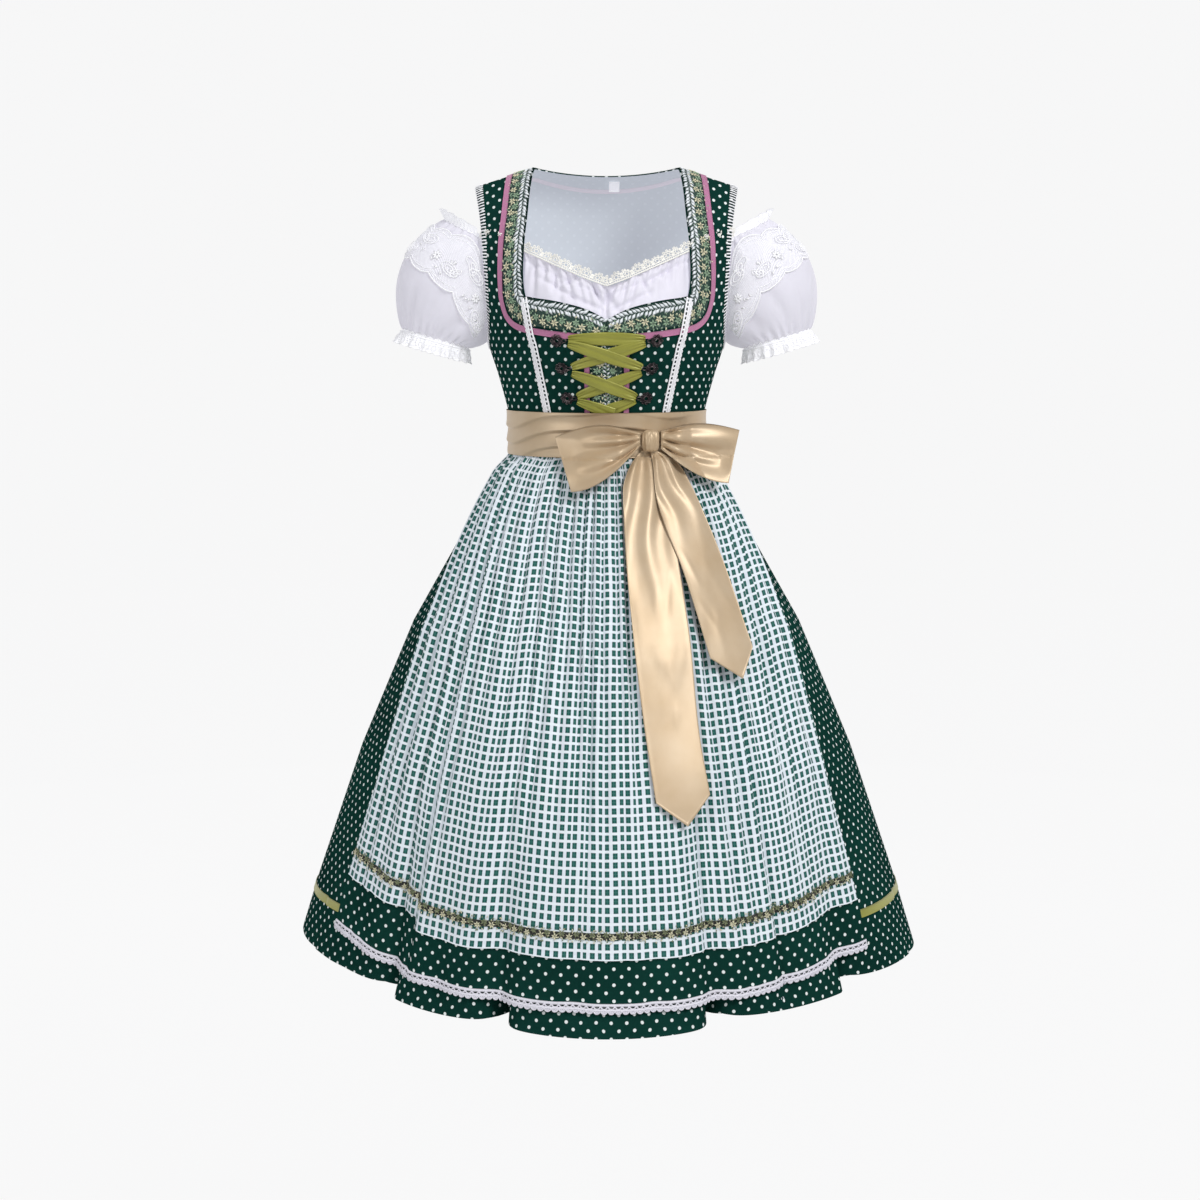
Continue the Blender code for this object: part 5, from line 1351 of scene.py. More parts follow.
# the draped lace band of each sleeve: turn, shares of the sleeve's length at its upper and lower edge
LACE_BAND = (
    (-2.60, 0.30, 0.58), (-1.60, 0.16, 0.48), (-0.60, 0.10, 0.40), (0.00, 0.12, 0.37), (0.60, 0.12, 0.41),
    (1.20, 0.10, 0.48), (1.80, 0.08, 0.58), (2.40, 0.06, 0.64),
)
MOTIF_LIFT = 0.3 * MM
MOTIF_COUNT = 5
# the ovals beside each flower: share of the way to the next one, turn, half length, half width
OVALS = ((0.34, 0.3, 12.0, 6.5), (0.5, -0.5, 9.0, 5.0))


def on_sleeve(base, normal, turn, share, lift):
    """Points over the sleeve's grid and their normals, at turns and shares of its length."""
    turn, share, lift = spread(turn, share, lift)
    rows, columns = base.shape[:2]
    turns = np.linspace(-math.pi, math.pi, columns, endpoint=False)
    c = np.interp(turn, turns, np.arange(columns))
    r = share * (rows - 1)
    c0, r0 = np.clip(c.astype(int), 0, columns - 2), np.clip(r.astype(int), 0, rows - 2)
    fc, fr = (c - c0)[..., None], (r - r0)[..., None]

    def read(field):
        near = field[r0, c0] * (1 - fr) + field[r0 + 1, c0] * fr
        far = field[r0, c0 + 1] * (1 - fr) + field[r0 + 1, c0 + 1] * fr
        return near * (1 - fc) + far * fc

    normals = unit(read(normal))
    return read(base) + normals * lift[..., None], normals


def make_sleeve_band(side, mirror, base, normal):
    """Lace laid over the sleeve in a slope: a net with scalloped edges, flowers and leaves in thread."""
    span = np.linspace(LACE_BAND[0][0], LACE_BAND[-1][0], 200)
    top, low = smooth(LACE_BAND, 1, span), smooth(LACE_BAND, 2, span)
    scallop = 0.040 * np.abs(np.sin(span * 6.0)) ** 0.7
    across = np.linspace(0, 1, 12)[:, None]
    share = (top - scallop) * (1 - across) + (low + scallop) * across
    grid, normals = on_sleeve(base, normal, span[None, :], share, 1.2 * MM)
    inner = grid - normals * 0.3 * MM
    band = shell(f"sleeve_{side}_lace_band", grid * mirror, inner * mirror, metric_uv(grid), (BAND_NET,))
    piece(band, "white_lace")
    track = Track(*on_sleeve(base, normal, span, (top + low) / 2, 1.5 * MM))
    width = 0.5 * np.linalg.norm(grid[0] - grid[-1], axis=1).mean()
    edges = ((0, 1.0), (1, 0.5), (-2, 0.5), (-1, 1.0))
    bodies = [thread(grid[row], track.normals, half * MM, 0.8 * MM) for row, half in edges]
    rng = np.random.default_rng(17)
    wide = track.length / MOTIF_COUNT
    round_once = np.linspace(0, 2 * math.pi, 15)
    for k in range(MOTIF_COUNT):
        s, t = (k + 0.5) * wide, rng.uniform(-0.15, 0.15) * width
        start = rng.uniform(0, 2)
        for p in range(7):
            turn = start + 2 * math.pi * p / 7
            bodies.append(leaf(track, s, t, turn, 7.5 * MM, 4.2 * MM, MOTIF_LIFT, rise=0.4 * MM))
        strokes = [arc(s, t, 2.2 * MM, 0, 360, 9)]
        for way in (-1, 1):
            for reach, turn, long, high in OVALS:
                a, b = long * MM * np.cos(round_once), high * MM * np.sin(round_once)
                c, n = math.cos(turn * way), math.sin(turn * way)
                middle = (s + way * reach * wide * 0.9, way * 0.42 * width)
                oval = np.stack([a * c - b * n, a * n + b * c], axis=1)
                strokes += [middle + oval, middle + 0.55 * oval]
        bodies += drawn(track, strokes, MOTIF_LIFT, 0.8 * MM, 0.5 * MM)
        for _ in range(9):
            turn = rng.uniform(0, 6.28)
            spot = (s + rng.uniform(-0.45, 0.45) * wide, rng.uniform(-0.8, 0.8) * width)
            bodies.append(leaf(track, *spot, turn, 7.0 * MM, 2.8 * MM, MOTIF_LIFT, rise=0.3 * MM))
    bodies = [(points * mirror, faces, look) for points, faces, look in bodies]
    piece(joined_solids(f"sleeve_{side}_lace_motifs", bodies, (WHITE_YARN,)), "white_lace")


# ---------------------------------------------------------------- skirt and apron

class Pleats:
    """Uneven gathers round or across a cloth, by shares from 0 to 1 of its width."""

    def __init__(self, count, seed, uneven, low_end, high_end):
        rng = np.random.default_rng(seed)
        widths = 1 + uneven * rng.uniform(-1, 1, count)
        self.count = count
        self.edges = np.concatenate([[0], np.cumsum(widths)]) / widths.sum()
        self.depth = rng.uniform(0.5, 1.0, count + 1)
        self.end = rng.uniform(low_end, high_end, count + 1)
        self.depth[-1], self.end[-1] = self.depth[0], self.end[0]

    def columns(self, per_fold):
        return fine(self.edges, per_fold)

    def valley(self, share, z):
        """How deep a place lies: 0 on a crest, up to 1 in a valley. Each gather fades at its own height."""
        share = np.clip(share, 0, 1)
        k = np.clip(np.searchsorted(self.edges, share, side="right") - 1, 0, self.count - 1)
        part = (share - self.edges[k]) / (self.edges[k + 1] - self.edges[k])
        deep = self.depth[k] * (1 - part) + self.depth[k + 1] * part
        end = self.end[k] * (1 - part) + self.end[k + 1] * part
        return deep * ease(z, end - 0.12, end + 0.14) * (1 - (np.sin(math.pi * part) ** 2 + 0.006) ** 0.42)


def gathered_uv(grid, folds):
    """Metres across and down a gathered cloth, and its width. Across each gather they are true from its crest
    outwards, and what the gather takes up is hidden in the valleys."""
    step = np.linalg.norm(np.diff(grid, axis=1), axis=2)
    rows, segments = step.shape
    along = np.cumsum(step.reshape(rows, folds, segments // folds), axis=2)
    run = np.concatenate([np.zeros((rows, folds, 1)), along], axis=2)
    taken = run[..., -1:]
    flat = taken.max(axis=0, keepdims=True)
    from_crest = run - taken / 2
    hidden = ease(2 * np.abs(from_crest) / taken, 0.55, 1.0) * (flat - taken) / 2
    u = np.cumsum(flat, axis=1) - flat / 2 + from_crest + np.sign(from_crest) * hidden
    u = np.concatenate([u[..., :-1].reshape(rows, -1), u[:, -1, -1:]], axis=1)
    down = np.linalg.norm(np.diff(grid, axis=0), axis=2)
    v = np.concatenate([np.zeros((1, grid.shape[1])), np.cumsum(down, axis=0)])
    width = float(flat.sum())
    return np.stack([u - width / 2, -v], axis=-1), width


# how many gathers, seed, unevenness of their widths, lowest and highest place where one fades out
SKIRT_PLEATS = Pleats(56, 21, 0.35, -0.66, -0.42)
APRON_PLEATS = Pleats(26, 33, 0.50, -1.02, -0.56)
APRON_FINE = Pleats(84, 34, 0.45, -0.48, -0.40)
# a gather of the skirt ends on each side of the body, where the front and the back meet
SIDE_EDGES = (0, SKIRT_PLEATS.edges[14], SKIRT_PLEATS.edges[42], 1)
SKIRT_PLEATS.edges = np.interp(SKIRT_PLEATS.edges, SIDE_EDGES, (0, 0.25, 0.75, 1))
# height, depth of the gathers there: the skirt's, the apron's and the apron's fine ones
SKIRT_DEPTH = (
    (-0.325, 0.0), (-0.350, 0.003), (-0.406, 0.007), (-0.500, 0.0055), (-0.640, 0.002), (-0.760, 0.0008),
    (-0.987, 0.0004),
)
APRON_DEPTH = (
    (-0.338, 0.0), (-0.352, 0.0035), (-0.406, 0.0110), (-0.560, 0.0140), (-0.720, 0.0125), (-0.870, 0.0085),
    (-0.962, 0.0050),
)
APRON_FINE_DEPTH = (
    (-0.338, 0.0012), (-0.352, 0.0036), (-0.385, 0.0040), (-0.430, 0.0018), (-0.480, 0.0), (-0.962, 0.0),
)
# start_share, start_z, end_share, end_z, width, depth: the apron's folds, listed one by one
APRON_FOLDS = (
    (-0.635, -0.415, -0.635, -0.935, 0.016, -0.0085), (-0.585, -0.440, -0.590, -0.935, 0.022, 0.0022),
    (-0.18, -0.450, -0.16, -0.820, 0.018, -0.0045), (-0.34, -0.480, -0.36, -0.840, 0.016, -0.0040),
    (0.30, -0.600, 0.26, -0.935, 0.020, -0.0060), (0.52, -0.540, 0.50, -0.940, 0.022, -0.0060),
    (0.74, -0.460, 0.78, -0.930, 0.020, -0.0050), (-0.84, -0.480, -0.86, -0.920, 0.018, -0.0045),
    (0.06, -0.560, 0.05, -0.920, 0.016, -0.0035),
    (-0.32, -0.780, -0.31, -1.150, 0.050, -0.0120), (0.33, -0.780, 0.34, -1.150, 0.050, -0.0120),
    (-0.70, -0.800, -0.71, -1.150, 0.050, -0.0110), (0.86, -0.800, 0.87, -1.150, 0.050, -0.0100),
    (-0.08, -0.880, -0.10, -1.100, 0.040, -0.0060), (0.14, -0.880, 0.12, -1.100, 0.030, -0.0050),
    (0.60, -0.860, 0.58, -1.100, 0.040, -0.0070), (-0.50, -0.860, -0.52, -1.100, 0.040, -0.0060),
)
KNIFE_FOLD = -0.628          # share across the apron where one fold is pressed sharp
UNDER_APRON_GAP = 2.5 * MM
BAND_LIFT, BAND_THICKNESS = 0.2 * MM, 0.7 * MM
APRON_LACE_PITCH = 8.0 * MM


def fold_valley(degrees):
    """How deep the skirt's large folds are at an angle: between two valleys lies a rounded crest."""
    degrees = np.mod(np.asarray(degrees, float) - VALLEYS[0][0], 360) + VALLEYS[0][0]
    places = np.array([v[0] for v in VALLEYS] + [VALLEYS[0][0] + 360])
    depths = np.array([v[1] for v in VALLEYS] + [VALLEYS[0][1]])
    k = np.clip(np.searchsorted(places, degrees, side="right") - 1, 0, len(places) - 2)
    share = (degrees - places[k]) / (places[k + 1] - places[k])
    deep = depths[k] + (depths[k + 1] - depths[k]) * share
    middle = (places[k] + places[k + 1]) / 2
    turned = np.where(np.abs(middle) > 95, 0.0, FOLD_TURN * np.clip(middle / 20, -1, 1))
    start, end = FOLD_EDGE * (1 + turned), FOLD_EDGE * (1 - turned)
    full = (1 - np.exp(-share / start)) * (1 - np.exp(-(1 - share) / end))
    broad = 1 - (np.sin(math.pi * share) ** 2) ** (FOLD_ROUNDNESS / 2)
    return deep * (0.75 * (1 - full) + 0.25 * broad)


def skirt_outline(angle, z, inwards):
    """Points of the skirt's sections, a distance inwards of their crests."""
    angle, z, inwards = spread(angle, z, inwards)
    facing = np.cos(angle)
    flatten = FRONT_FLATTEN * np.clip((FLATTEN_TOP_Z - z) / (FLATTEN_TOP_Z - HEM_Z), 0, 1)
    half = straight(SKIRT, 1, z)
    share = (1 - inwards / half) * (1 - np.where(facing > 0, flatten * np.sin(2 * angle) ** 2, 0))
    depth = np.where(facing > 0, straight(SKIRT, 2, z), straight(SKIRT, 3, z))
    return np.stack([share * half * np.sin(angle), -share * depth * facing, z], axis=-1)


def skirt_valley(degrees, z):
    """How far inwards of the crests the skirt's large folds take it."""
    return straight(SKIRT, 4, z) * fold_valley(degrees)


def apron_side(across, z):
    """Degrees from centre front to the apron's edge, on the side that the sign of across gives."""
    return np.where(across < 0, smooth(APRON_SIDES, 1, z), smooth(APRON_SIDES, 2, z))


def under_apron(degrees, z):
    """1 where the apron lies over the skirt, 0 clear of it."""
    share = np.abs(degrees) / apron_side(degrees, z)
    return ease(1 - share, 0.0, 0.06) * ease(z, -0.982, -0.964)


def skirt_points(degrees, z, lift=0.0):
    """Points of the skirt's outer face. Beneath the apron it keeps clear of the apron's inner face."""
    degrees, z = spread(degrees, z)
    lean = 0.5 * np.sin(9 * z + np.radians(3 * degrees)) * ease(-z, 0.36, 0.55)
    share = np.mod(degrees + lean, 360) / 360
    gathers = smooth(SKIRT_DEPTH, 1, z) * SKIRT_PLEATS.valley(share, z)
    signed = np.mod(degrees + 180, 360) - 180
    inwards = skirt_valley(degrees, z) + gathers
    across = np.clip(signed / apron_side(signed, z), -1, 1)
    clear = apron_inwards(across, z) + APRON_CLOTH + UNDER_APRON_GAP
    inwards = inwards + np.maximum(clear - inwards, 0) * under_apron(signed, z)
    return skirt_outline(np.radians(degrees), z, inwards - lift)


def apron_bridge(degrees, z):
    """How far inwards of the crests the apron's inner face lies: it spans the skirt's narrow valleys."""
    window = np.linspace(-5.6, 5.6, 17)
    return np.min([skirt_valley(degrees + w, z) for w in window], axis=0) - APRON_CLEAR


def apron_inwards(across, z):
    """How far inwards of the skirt's crests the apron's outer face lies."""
    share = (across + 1) / 2 + 0.006 * np.sin(11 * z + 5 * across) * ease(-z, 0.40, 0.60)
    deep = smooth(APRON_DEPTH, 1, z) * APRON_PLEATS.valley(share, z)
    deep = deep + smooth(APRON_FINE_DEPTH, 1, z) * APRON_FINE.valley(share, z)
    deep = deep - troughs(APRON_FOLDS, across, z)
    out = straight(APRON_GATHER, 1, z) + APRON_CLOTH - deep
    return apron_bridge(across * apron_side(across, z), z) - out


def apron_points(across, z, lift=0.0):
    """Points of the apron's outer face at shares from -1 to 1 of its width."""
    across, z = spread(across, z)
    degrees = across * apron_side(across, z)
    return skirt_outline(np.radians(degrees), z, apron_inwards(across, z) - lift)


def surface_normal(surface, a, b, step):
    """Outward normals of a surface, from places a step to each side."""
    across = surface(a + step, b) - surface(a - step, b)
    along = surface(a, b + step) - surface(a, b - step)
    normal = unit(np.cross(across, along))
    outward = surface(a, b) * (1, 1, 0)
    return normal * np.sign(np.sum(normal * outward, axis=-1, keepdims=True))


def make_skirt():
    heights = fine(np.array([
        -0.3253, -0.350, -0.369, -0.406, -0.480, -0.560, -0.640, -0.720, -0.805, -0.891, -0.940, HEM_Z,
    ]), 6)
    per_fold, folds = 12, SKIRT_PLEATS.count // 2
    around = SKIRT_PLEATS.columns(per_fold) * 360
    side = folds * per_fold // 2
    front = np.concatenate([around[-1 - side:-1] - 360, around[:side + 1]])
    for name, degrees in (("skirt_front", front), ("skirt_back", around[side:-side])):
        z = np.repeat(heights[:, None], len(degrees), axis=1)
        rise = np.interp(degrees, *zip(*HEM_RISE), period=360)
        z = z + rise * ease(-z, 0.80, -HEM_Z)
        uv = gathered_uv(skirt_points(degrees, z), folds)[0]
        cloth = fitted(f"{name}_cloth", skirt_points, degrees, z, (DOTTED, WRONG_SIDE), uv=uv)
        piece(cloth, "green_dotted_cloth", name)


def make_hem_ribbon():
    """The ribbon above the hem, from one edge of the apron round the back to the other."""
    start = straight(APRON_SIDES, 2, HEM_RIBBON_Z) + 0.4
    end = 360 - straight(APRON_SIDES, 1, HEM_RIBBON_Z) - 0.4
    degrees = np.linspace(start, end, 620)[None, :]
    z = HEM_RIBBON_Z + np.linspace(-0.5, 0.5, 5)[:, None] * HEM_RIBBON_WIDTH
    ribbon = fitted("hem_ribbon_band", skirt_points, degrees, z, (OLIVE_SATIN,), 1.2 * MM, 0.6 * MM)
    piece(ribbon, "olive_satin", "hem_ribbon")


def apron_line(across, line):
    """Heights of one of the apron's cross lines: it sags to its corners and steps at the pressed fold."""
    centre, rise_right, rise_left, corner_right, corner_left, step = line
    right, left = corner_right * ease(-across, 0.62, 1.05), corner_left * ease(across, 0.45, 1.05)
    over = 0.5 - ease(across, KNIFE_FOLD - 0.012, KNIFE_FOLD + 0.012)
    step = step * over * ease(-across, 0.2, 0.5)
    rise = np.where(across < 0, rise_right, rise_left)
    return centre + rise * across**2 + step + np.where(across < 0, right, left)


def apron_track(line, lift):
    """The track of one of the apron's cross lines."""
    across = np.linspace(-1, 1, 700)
    heights = apron_line(across, line)
    normals = surface_normal(apron_points, across, heights, 0.002)
    return Track(apron_points(across, heights, lift), normals)


def make_apron():
    across = APRON_PLEATS.columns(12) * 2 - 1
    check_end, band_end = (apron_line(across, line) for line in (CHECK_END_LINE, BAND_END_LINE))
    z = APRON_TOP_Z + np.linspace(0, 1, 96)[:, None] * (check_end - APRON_TOP_Z)
    uv, width = gathered_uv(apron_points(across, z), APRON_PLEATS.count)
    uv[..., 1] -= uv[-1, :, 1]
    cloth = fitted("apron_check_cloth", apron_points, across, z, (CHECK,), uv=uv)
    piece(cloth, "check_cloth", "apron_check")

    z = check_end + np.linspace(0, 1, 12)[:, None] * (band_end - check_end)
    uv = gathered_uv(apron_points(across, z, BAND_LIFT), APRON_PLEATS.count)[0]
    band = fitted("apron_band_cloth", apron_points, across, z, (DOTTED,), BAND_LIFT, BAND_THICKNESS, uv)
    piece(band, "green_dotted_cloth", "apron_band")


def make_apron_braid():
    track = apron_track(APRON_BRAID_LINE, TRIM_LIFT)
    grid = strip(track, 3.6 * MM, 0.3 * MM, 4, count=500)
    ground = thin("apron_braid_ground", grid, (DARK_GROUND,), inside=(0, 0, -0.88))
    piece(ground, "floral_braid", "apron_braid")
    bodies = flowers(track, np.random.default_rng(9), 9.4 * MM, (0, 1), lift=0.8 * MM)
    piece(joined_solids("apron_braid_flowers", bodies, (CREAM_YARN, OLIVE_YARN)), "floral_braid")


def make_apron_lace():
    """The crocheted edge below the band: two rails with arches that hang from them."""
    track = apron_track(BAND_END_LINE, 0.3 * MM)
    way = track.way(0.3, (0, 0, -1))
    down = way * MM
    count = int(track.length / APRON_LACE_PITCH)
    bodies = rails(track, 420, ((1.4, 1.8), (7.0, 1.6)), way, 0.5 * MM, 0.6 * MM)
    for s in (np.arange(count) + 0.5) * track.length / count:
        arches = ((2.2, 3.6, 8), (7.6, 3.4, 9), (8.0, 1.5, 5))
        strokes = [arc(s, drop * down, size * MM, 0, way * 180, points) for drop, size, points in arches]
        bodies += drawn(track, strokes, 0.5 * MM, 0.95 * MM, 0.5 * MM)
    piece(joined_solids("apron_lace_threads", bodies, (LACE_YARN,)), "white_lace", "apron_lace")


# ---------------------------------------------------------------- sash and bow

SASH_TOP_Z, SASH_LOW_Z = SASH[0][0], SASH[-1][0]
SASH_LAYER, SASH_ROLL = 6.2 * MM, 1.2 * MM
# node, sizes, how far its end stands off, seed and flat size
LOOPS = (
    ("bow_loop_right", LOOP_RIGHT, 4 * MM, 61, (0.070, 0.24)),
    ("bow_loop_left", LOOP_LEFT, 3 * MM, 62, (0.070, 0.22)),
)
# node, sizes, its tip, how far it stands off, flat size and seed
TAILS = (
    ("bow_tail_long", TAIL_LONG, TAIL_LONG_TIP, TAIL_LONG_CLEAR, (0.068, 0.42), 63),
    ("bow_tail_short", TAIL_SHORT, TAIL_SHORT_TIP, TAIL_SHORT_CLEAR, (0.062, 0.28), 64),
)
LOOP_GAP, LOOP_ARCH = 4 * MM, 2 * MM    # what holds a loop's front and back apart, at least and in its middle
LOOP_CREASES, LOOP_CREASE_DEPTH = 3, (7.0 * MM, 11.0 * MM)
FOLD_CREASE = 1.3 * MM       # the crease beside a loop's fold
TAIL_GATHER, TAIL_SWAY, TAIL_HEM = 6.5 * MM, 3.0 * MM, 0.25 * MM
SLACK_COUNT, SLACK_DEPTH = 9, 0.6 * MM


def make_sash():
    """The sash is wound tight: slanting layers of cloth that lap over each other all the way round."""
    z = np.linspace(SASH_TOP_Z, SASH_LOW_Z, 52)[:, None]
    around = np.radians(np.linspace(-100, 260, 240, endpoint=False))[None, :]
    down = (z - SASH_TOP_Z) / (SASH_LOW_Z - SASH_TOP_Z)
    slant = 0.50 * np.sin(around + 0.7) + 0.28 * np.sin(3 * around + 2.3) + 0.10 * np.sin(7 * around)
    lap = np.mod(2.9 * down + slant + 0.35, 1)
    strength = (0.62 + 0.38 * np.sin(2 * around + 2.6)) * np.sin(math.pi * np.clip(down, 0.04, 0.96)) ** 0.5
    layers = SASH_LAYER * (lap**1.4 * (1 - ease(lap, 0.82, 1.0)) - 0.25) * strength
    rolled = -SASH_ROLL * (2 * np.abs(down - 0.5)) ** 6

    def ring(inwards):
        out = layers + rolled - inwards
        half = smooth(SASH, 1, z) + out
        depth = np.where(np.cos(around) > 0, smooth(SASH, 2, z), smooth(SASH, 3, z)) + out
        height = np.broadcast_to(z, out.shape)
        return np.stack([half * np.sin(around), -depth * np.cos(around), height], axis=-1)

    outer = ring(0)
    cloth = shell("sash_cloth", outer, ring(THIN), metric_uv(outer, True), (GOLD_SATIN,), closed=True)
    piece(cloth, "gold_satin", "sash")


def eased_skirt(column, z):
    """A size of the skirt with its corners eased, for what hangs over it."""
    return sum(straight(SKIRT, column, z + step) for step in (-0.018, 0.0, 0.018)) / 3


def front_cover(x, z, clear):
    """The y of what hangs in front of the sash and the apron, a clearance off them."""
    over = straight(APRON_GATHER, 1, z) + APRON_CLEAR + APRON_CLOTH + 1.2 * MM

    def size(column):
        wound = smooth(SASH, column, z)
        return np.where(z > SASH_LOW_Z, wound, np.maximum(eased_skirt(column, z) + over, wound))

    turn = np.clip(np.abs(x) / size(1), 0, 0.82)
    return -size(2) * np.sqrt(1 - turn**2) - clear


def make_loop(name, sizes, stand_off, seed, flat):
    """One loop of the bow: out to its fold and back behind itself, with creases that run from the knot."""
    rng = np.random.default_rng(seed)
    top_x, top_z, low_x, low_z, root_x, root_top, root_low, arch = sizes
    t = np.linspace(0, 1, 110)[:, None]
    width = np.linspace(0, 1, 40)[None, :]
    share = 0.985 * np.sin(math.pi * t) ** 0.9
    flare = np.sin(share * math.pi / 2)
    bulge = np.sin(math.pi * width)
    x = root_x + (low_x + (top_x - low_x) * width - root_x) * share
    z_root = root_low + (root_top - root_low) * width
    z = z_root + (low_z + (top_z - low_z) * width - z_root) * flare
    z = z + arch * width**2 * np.sin(math.pi * share)
    front = 0.5 + 0.5 * np.cos(math.pi * t)
    puffed = 1.15 * ease(share, 0.0, 0.30) * (1 - 0.8 * share)
    swell = LOOP_BULGE * puffed + LOOP_GAP + LOOP_ARCH * bulge
    crease = np.zeros_like(x)
    for k in range(LOOP_CREASES):
        place = (k + 0.5) / LOOP_CREASES + rng.uniform(-0.05, 0.05)
        reach = rng.uniform(0.65, 1.20)
        drift = rng.uniform(-0.22, 0.22)
        narrow = 0.050 + 0.115 * share
        valley = np.exp(-(((width - place - drift * share) / narrow) ** 2))
        fade = np.exp(-((share / reach) ** 2)) * ease(share, 0.0, 0.15)
        crease = crease + rng.uniform(*LOOP_CREASE_DEPTH) * valley * fade
    crease = crease + FOLD_CREASE * np.exp(-(((share - 0.80 - 0.1 * width) / 0.10) ** 2)) * bulge
    crease = np.minimum(crease, (0.7 - 0.3 * share) * swell) * ease(front, 0.5, 0.8)
    clear = LOOP_CLEAR + stand_off * share**2 + LOOP_TILT * share * (1 - width)
    y = front_cover(x, z, clear + front * swell - crease)
    loop = thin(f"{name}_satin", np.stack([x, y, z], axis=-1), (GOLD_SATIN,))
    piece(loop, "gold_satin", name)


def slack_creases(rng, width, length):
    """Rows for troughs: short slanting creases over the lower part of a hanging strip."""
    rows = []
    for _ in range(SLACK_COUNT):
        a, b = rng.uniform(0.10, 0.90) * width, rng.uniform(0.28, 0.85) * length
        run, lean = rng.uniform(0.025, 0.070), rng.uniform(-0.45, 0.45)
        width_depth = rng.uniform(0.004, 0.008), SLACK_DEPTH * rng.uniform(0.3, 1.0)
        rows.append((a, b, a + run * lean, b + run, *width_depth))
    return rows


def make_tail(name, rows, tip, clear, flat, seed):
    """One hanging end of the sash, gathered under the knot and cut to a point."""
    rng = np.random.default_rng(seed)
    share = np.linspace(0, 1, 130)[:, None]
    width = np.linspace(0, 1, 41)[None, :]
    left_x, left_z, right_x, right_z = (smooth(rows, k, share) for k in (1, 2, 3, 4))
    x = left_x + (right_x - left_x) * width
    z = left_z + (right_z - left_z) * width
    from_middle = np.abs(2 * width - 1)
    pulled = np.clip((share - 0.9) / 0.1, 0, 1) * (1 - from_middle)
    middle = np.array([x[-1, 20], z[-1, 20]])
    x = x + pulled * (tip[0] - middle[0])
    z = z + pulled * (tip[1] - middle[1])
    bend = 0.17 * np.sin(share * 15 + rng.uniform(0, 6)) * np.exp(-share * 2)
    ridges = 0.5 + 0.5 * np.cos(2 * math.pi * ((width + bend) * 1.9 + rng.uniform(0, 1)))
    gather = TAIL_GATHER * ridges**1.3 * np.exp(-((share / 0.32) ** 2)) * ease(share, 0.0, 0.06)
    waves = 0.5 + 0.5 * np.sin(share * 11 + width * 2.6 + rng.uniform(0, 6))
    sway = TAIL_SWAY * waves * ease(share, 0.1, 0.4) * (1 - 0.5 * share)
    hem = TAIL_HEM * ease(from_middle, 0.86, 0.96)
    slack = troughs(slack_creases(rng, *flat), width * flat[0], share * flat[1])
    y = front_cover(x, z, clear) - gather - sway - hem - slack
    tail = thin(f"{name}_satin", np.stack([x, y, z], axis=-1), (GOLD_SATIN,), inside=(0, 0, -0.5))
    piece(tail, "gold_satin", name)


def make_knot():
    """The knot: satin wound round once, with slanting folds."""
    around = np.linspace(0, 2 * math.pi, 72, endpoint=False)
    along = np.linspace(0.02, math.pi - 0.02, 40)[:, None]
    slant = 0.5 * np.cos(along) + 0.3 * np.cos(along) ** 2
    wide_folds = 0.11 * np.abs(np.cos(2.5 * around + slant)) ** 6
    fine_folds = 0.08 * np.abs(np.cos(4 * around + 1.2 - slant)) ** 6
    radius = np.sin(along) ** 0.45 * (1.04 - wide_folds - fine_folds)
    middle = np.array([KNOT_X, 0.0, KNOT_Z])
    middle[1] = front_cover(KNOT_X, KNOT_Z, KNOT_HALF[1] + 1.2 * MM)
    ball = np.stack([
        radius * np.cos(around) * (0.88 + 0.12 * np.cos(along) ** 2),
        radius * np.sin(around),
        1.02 * np.cos(along) * np.ones_like(around),
    ], axis=-1)
    grid = ball * KNOT_HALF + middle
    knot = thin("bow_knot_satin", grid, (GOLD_SATIN,), closed=True, inside=middle)
    piece(knot, "gold_satin", "bow_knot")


# ---------------------------------------------------------------- camera, light and floor

LENS, SENSOR = 57.289, 36.0
CAMERA_PLACE, CAMERA_AIM = (-0.008, -2.4, -0.188), (-0.008, 0.0, -0.537)
# name, place, size and power of the lamps
LAMPS = (
    ("key", (1.7, -2.35, 1.6), 1.1, 68.0), ("fill", (-2.4, -2.4, 0.2), 1.4, 22.0),
    ("top", (0.3, -0.5, 2.4), 1.4, 10.0),
)
LAMP_AIM = (0, 0, -0.45)
SKY, SKY_STRENGTH = (0.93, 0.95, 1.0, 1), 0.40
# radius and height of the backdrop's rings: a floor that curves up all round
BACKDROP = (
    (0.001, -2.1), (2.0, -2.1), (4.0, -2.1), (5.2, -1.94), (6.2, -1.35), (6.9, -0.3), (7.2, 1.1), (7.3, 2.9),
)
BACKDROP_COLUMNS = 96
WALL_GREYS = (0.900, 0.900, 0.902), (0.908, 0.908, 0.910)


def placed(name, data, place, aim):
    """A camera or lamp that looks at a point."""
    obj = bpy.data.objects.new(name, data)
    obj.location = place
    obj.rotation_euler = (Vector(aim) - Vector(place)).to_track_quat("-Z", "Y").to_euler()
    bpy.context.scene.collection.objects.link(obj)
    return obj


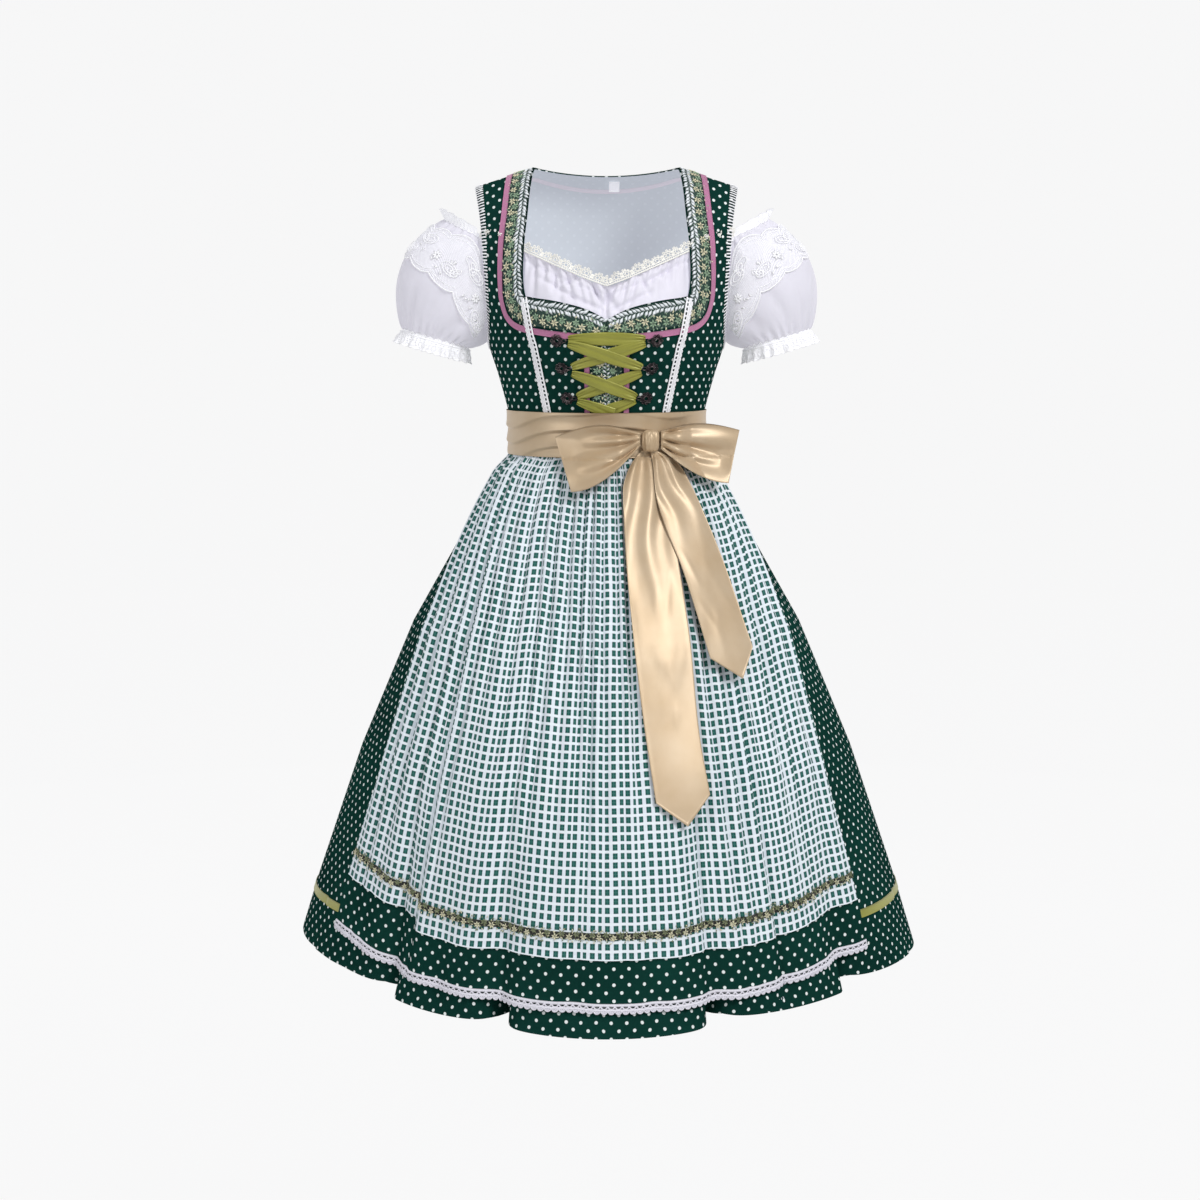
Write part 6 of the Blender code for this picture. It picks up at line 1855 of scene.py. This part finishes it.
def make_stage():
    camera = bpy.data.cameras.new("camera")
    camera.lens, camera.sensor_width = LENS, SENSOR
    bpy.context.scene.camera = placed("camera", camera, CAMERA_PLACE, CAMERA_AIM)
    for name, place, size, power in LAMPS:
        lamp = bpy.data.lights.new(name, "AREA")
        lamp.size, lamp.energy = size, power
        placed(name, lamp, place, LAMP_AIM)

    world = bpy.data.worlds.new("studio")
    world.use_nodes = True
    background = world.node_tree.nodes["Background"]
    background.inputs["Color"].default_value = SKY
    background.inputs["Strength"].default_value = SKY_STRENGTH
    bpy.context.scene.world = world
    bpy.context.scene.view_settings.view_transform = "Standard"


def make_backdrop():
    """Lit from within behind the dress, so that it's an even light grey, and dark in front of it."""
    turn = np.linspace(0, 2 * math.pi, BACKDROP_COLUMNS, endpoint=False)
    radii, heights = np.array(BACKDROP).T
    height = np.outer(heights, np.ones(BACKDROP_COLUMNS))
    grid = np.stack([np.outer(radii, np.cos(turn)), np.outer(radii, np.sin(turn)), height], axis=-1)
    look = Nodes("floor_look", Roughness=0.9)
    place = look.node("ShaderNodeSeparateXYZ", {0: look.node("ShaderNodeTexCoord").outputs["Object"]})
    lit = look.step(place.outputs[1], 0.7, 1.5)
    look.colour(look.mix(lit, (0.80, 0.80, 0.80), (0.02, 0.02, 0.02)))
    glow = look.mix(look.noise(0.6), *WALL_GREYS)
    look.tree.links.new(glow, look.shader.inputs["Emission Color"])
    look.tree.links.new(lit, look.shader.inputs["Emission Strength"])
    at = np.arange(grid.shape[0] * BACKDROP_COLUMNS).reshape(-1, BACKDROP_COLUMNS)
    faces = quads(np.hstack([at, at[:, :1]]))[:, ::-1]
    mesh_piece("floor", grid.reshape(-1, 3), faces, (look.material,))


def main():
    make_stage()
    make_backdrop()
    make_bodice()
    make_whipstitch()
    make_label()
    make_neck_trims()
    make_lace_tapes()
    make_placket()
    make_hooks()
    make_lacing()
    make_blouse_body()
    make_neckline_lace()
    make_sleeves()
    make_skirt()
    make_hem_ribbon()
    make_apron()
    make_apron_braid()
    make_apron_lace()
    make_sash()
    make_knot()
    for loop in LOOPS:
        make_loop(*loop)
    for tail in TAILS:
        make_tail(*tail)


main()
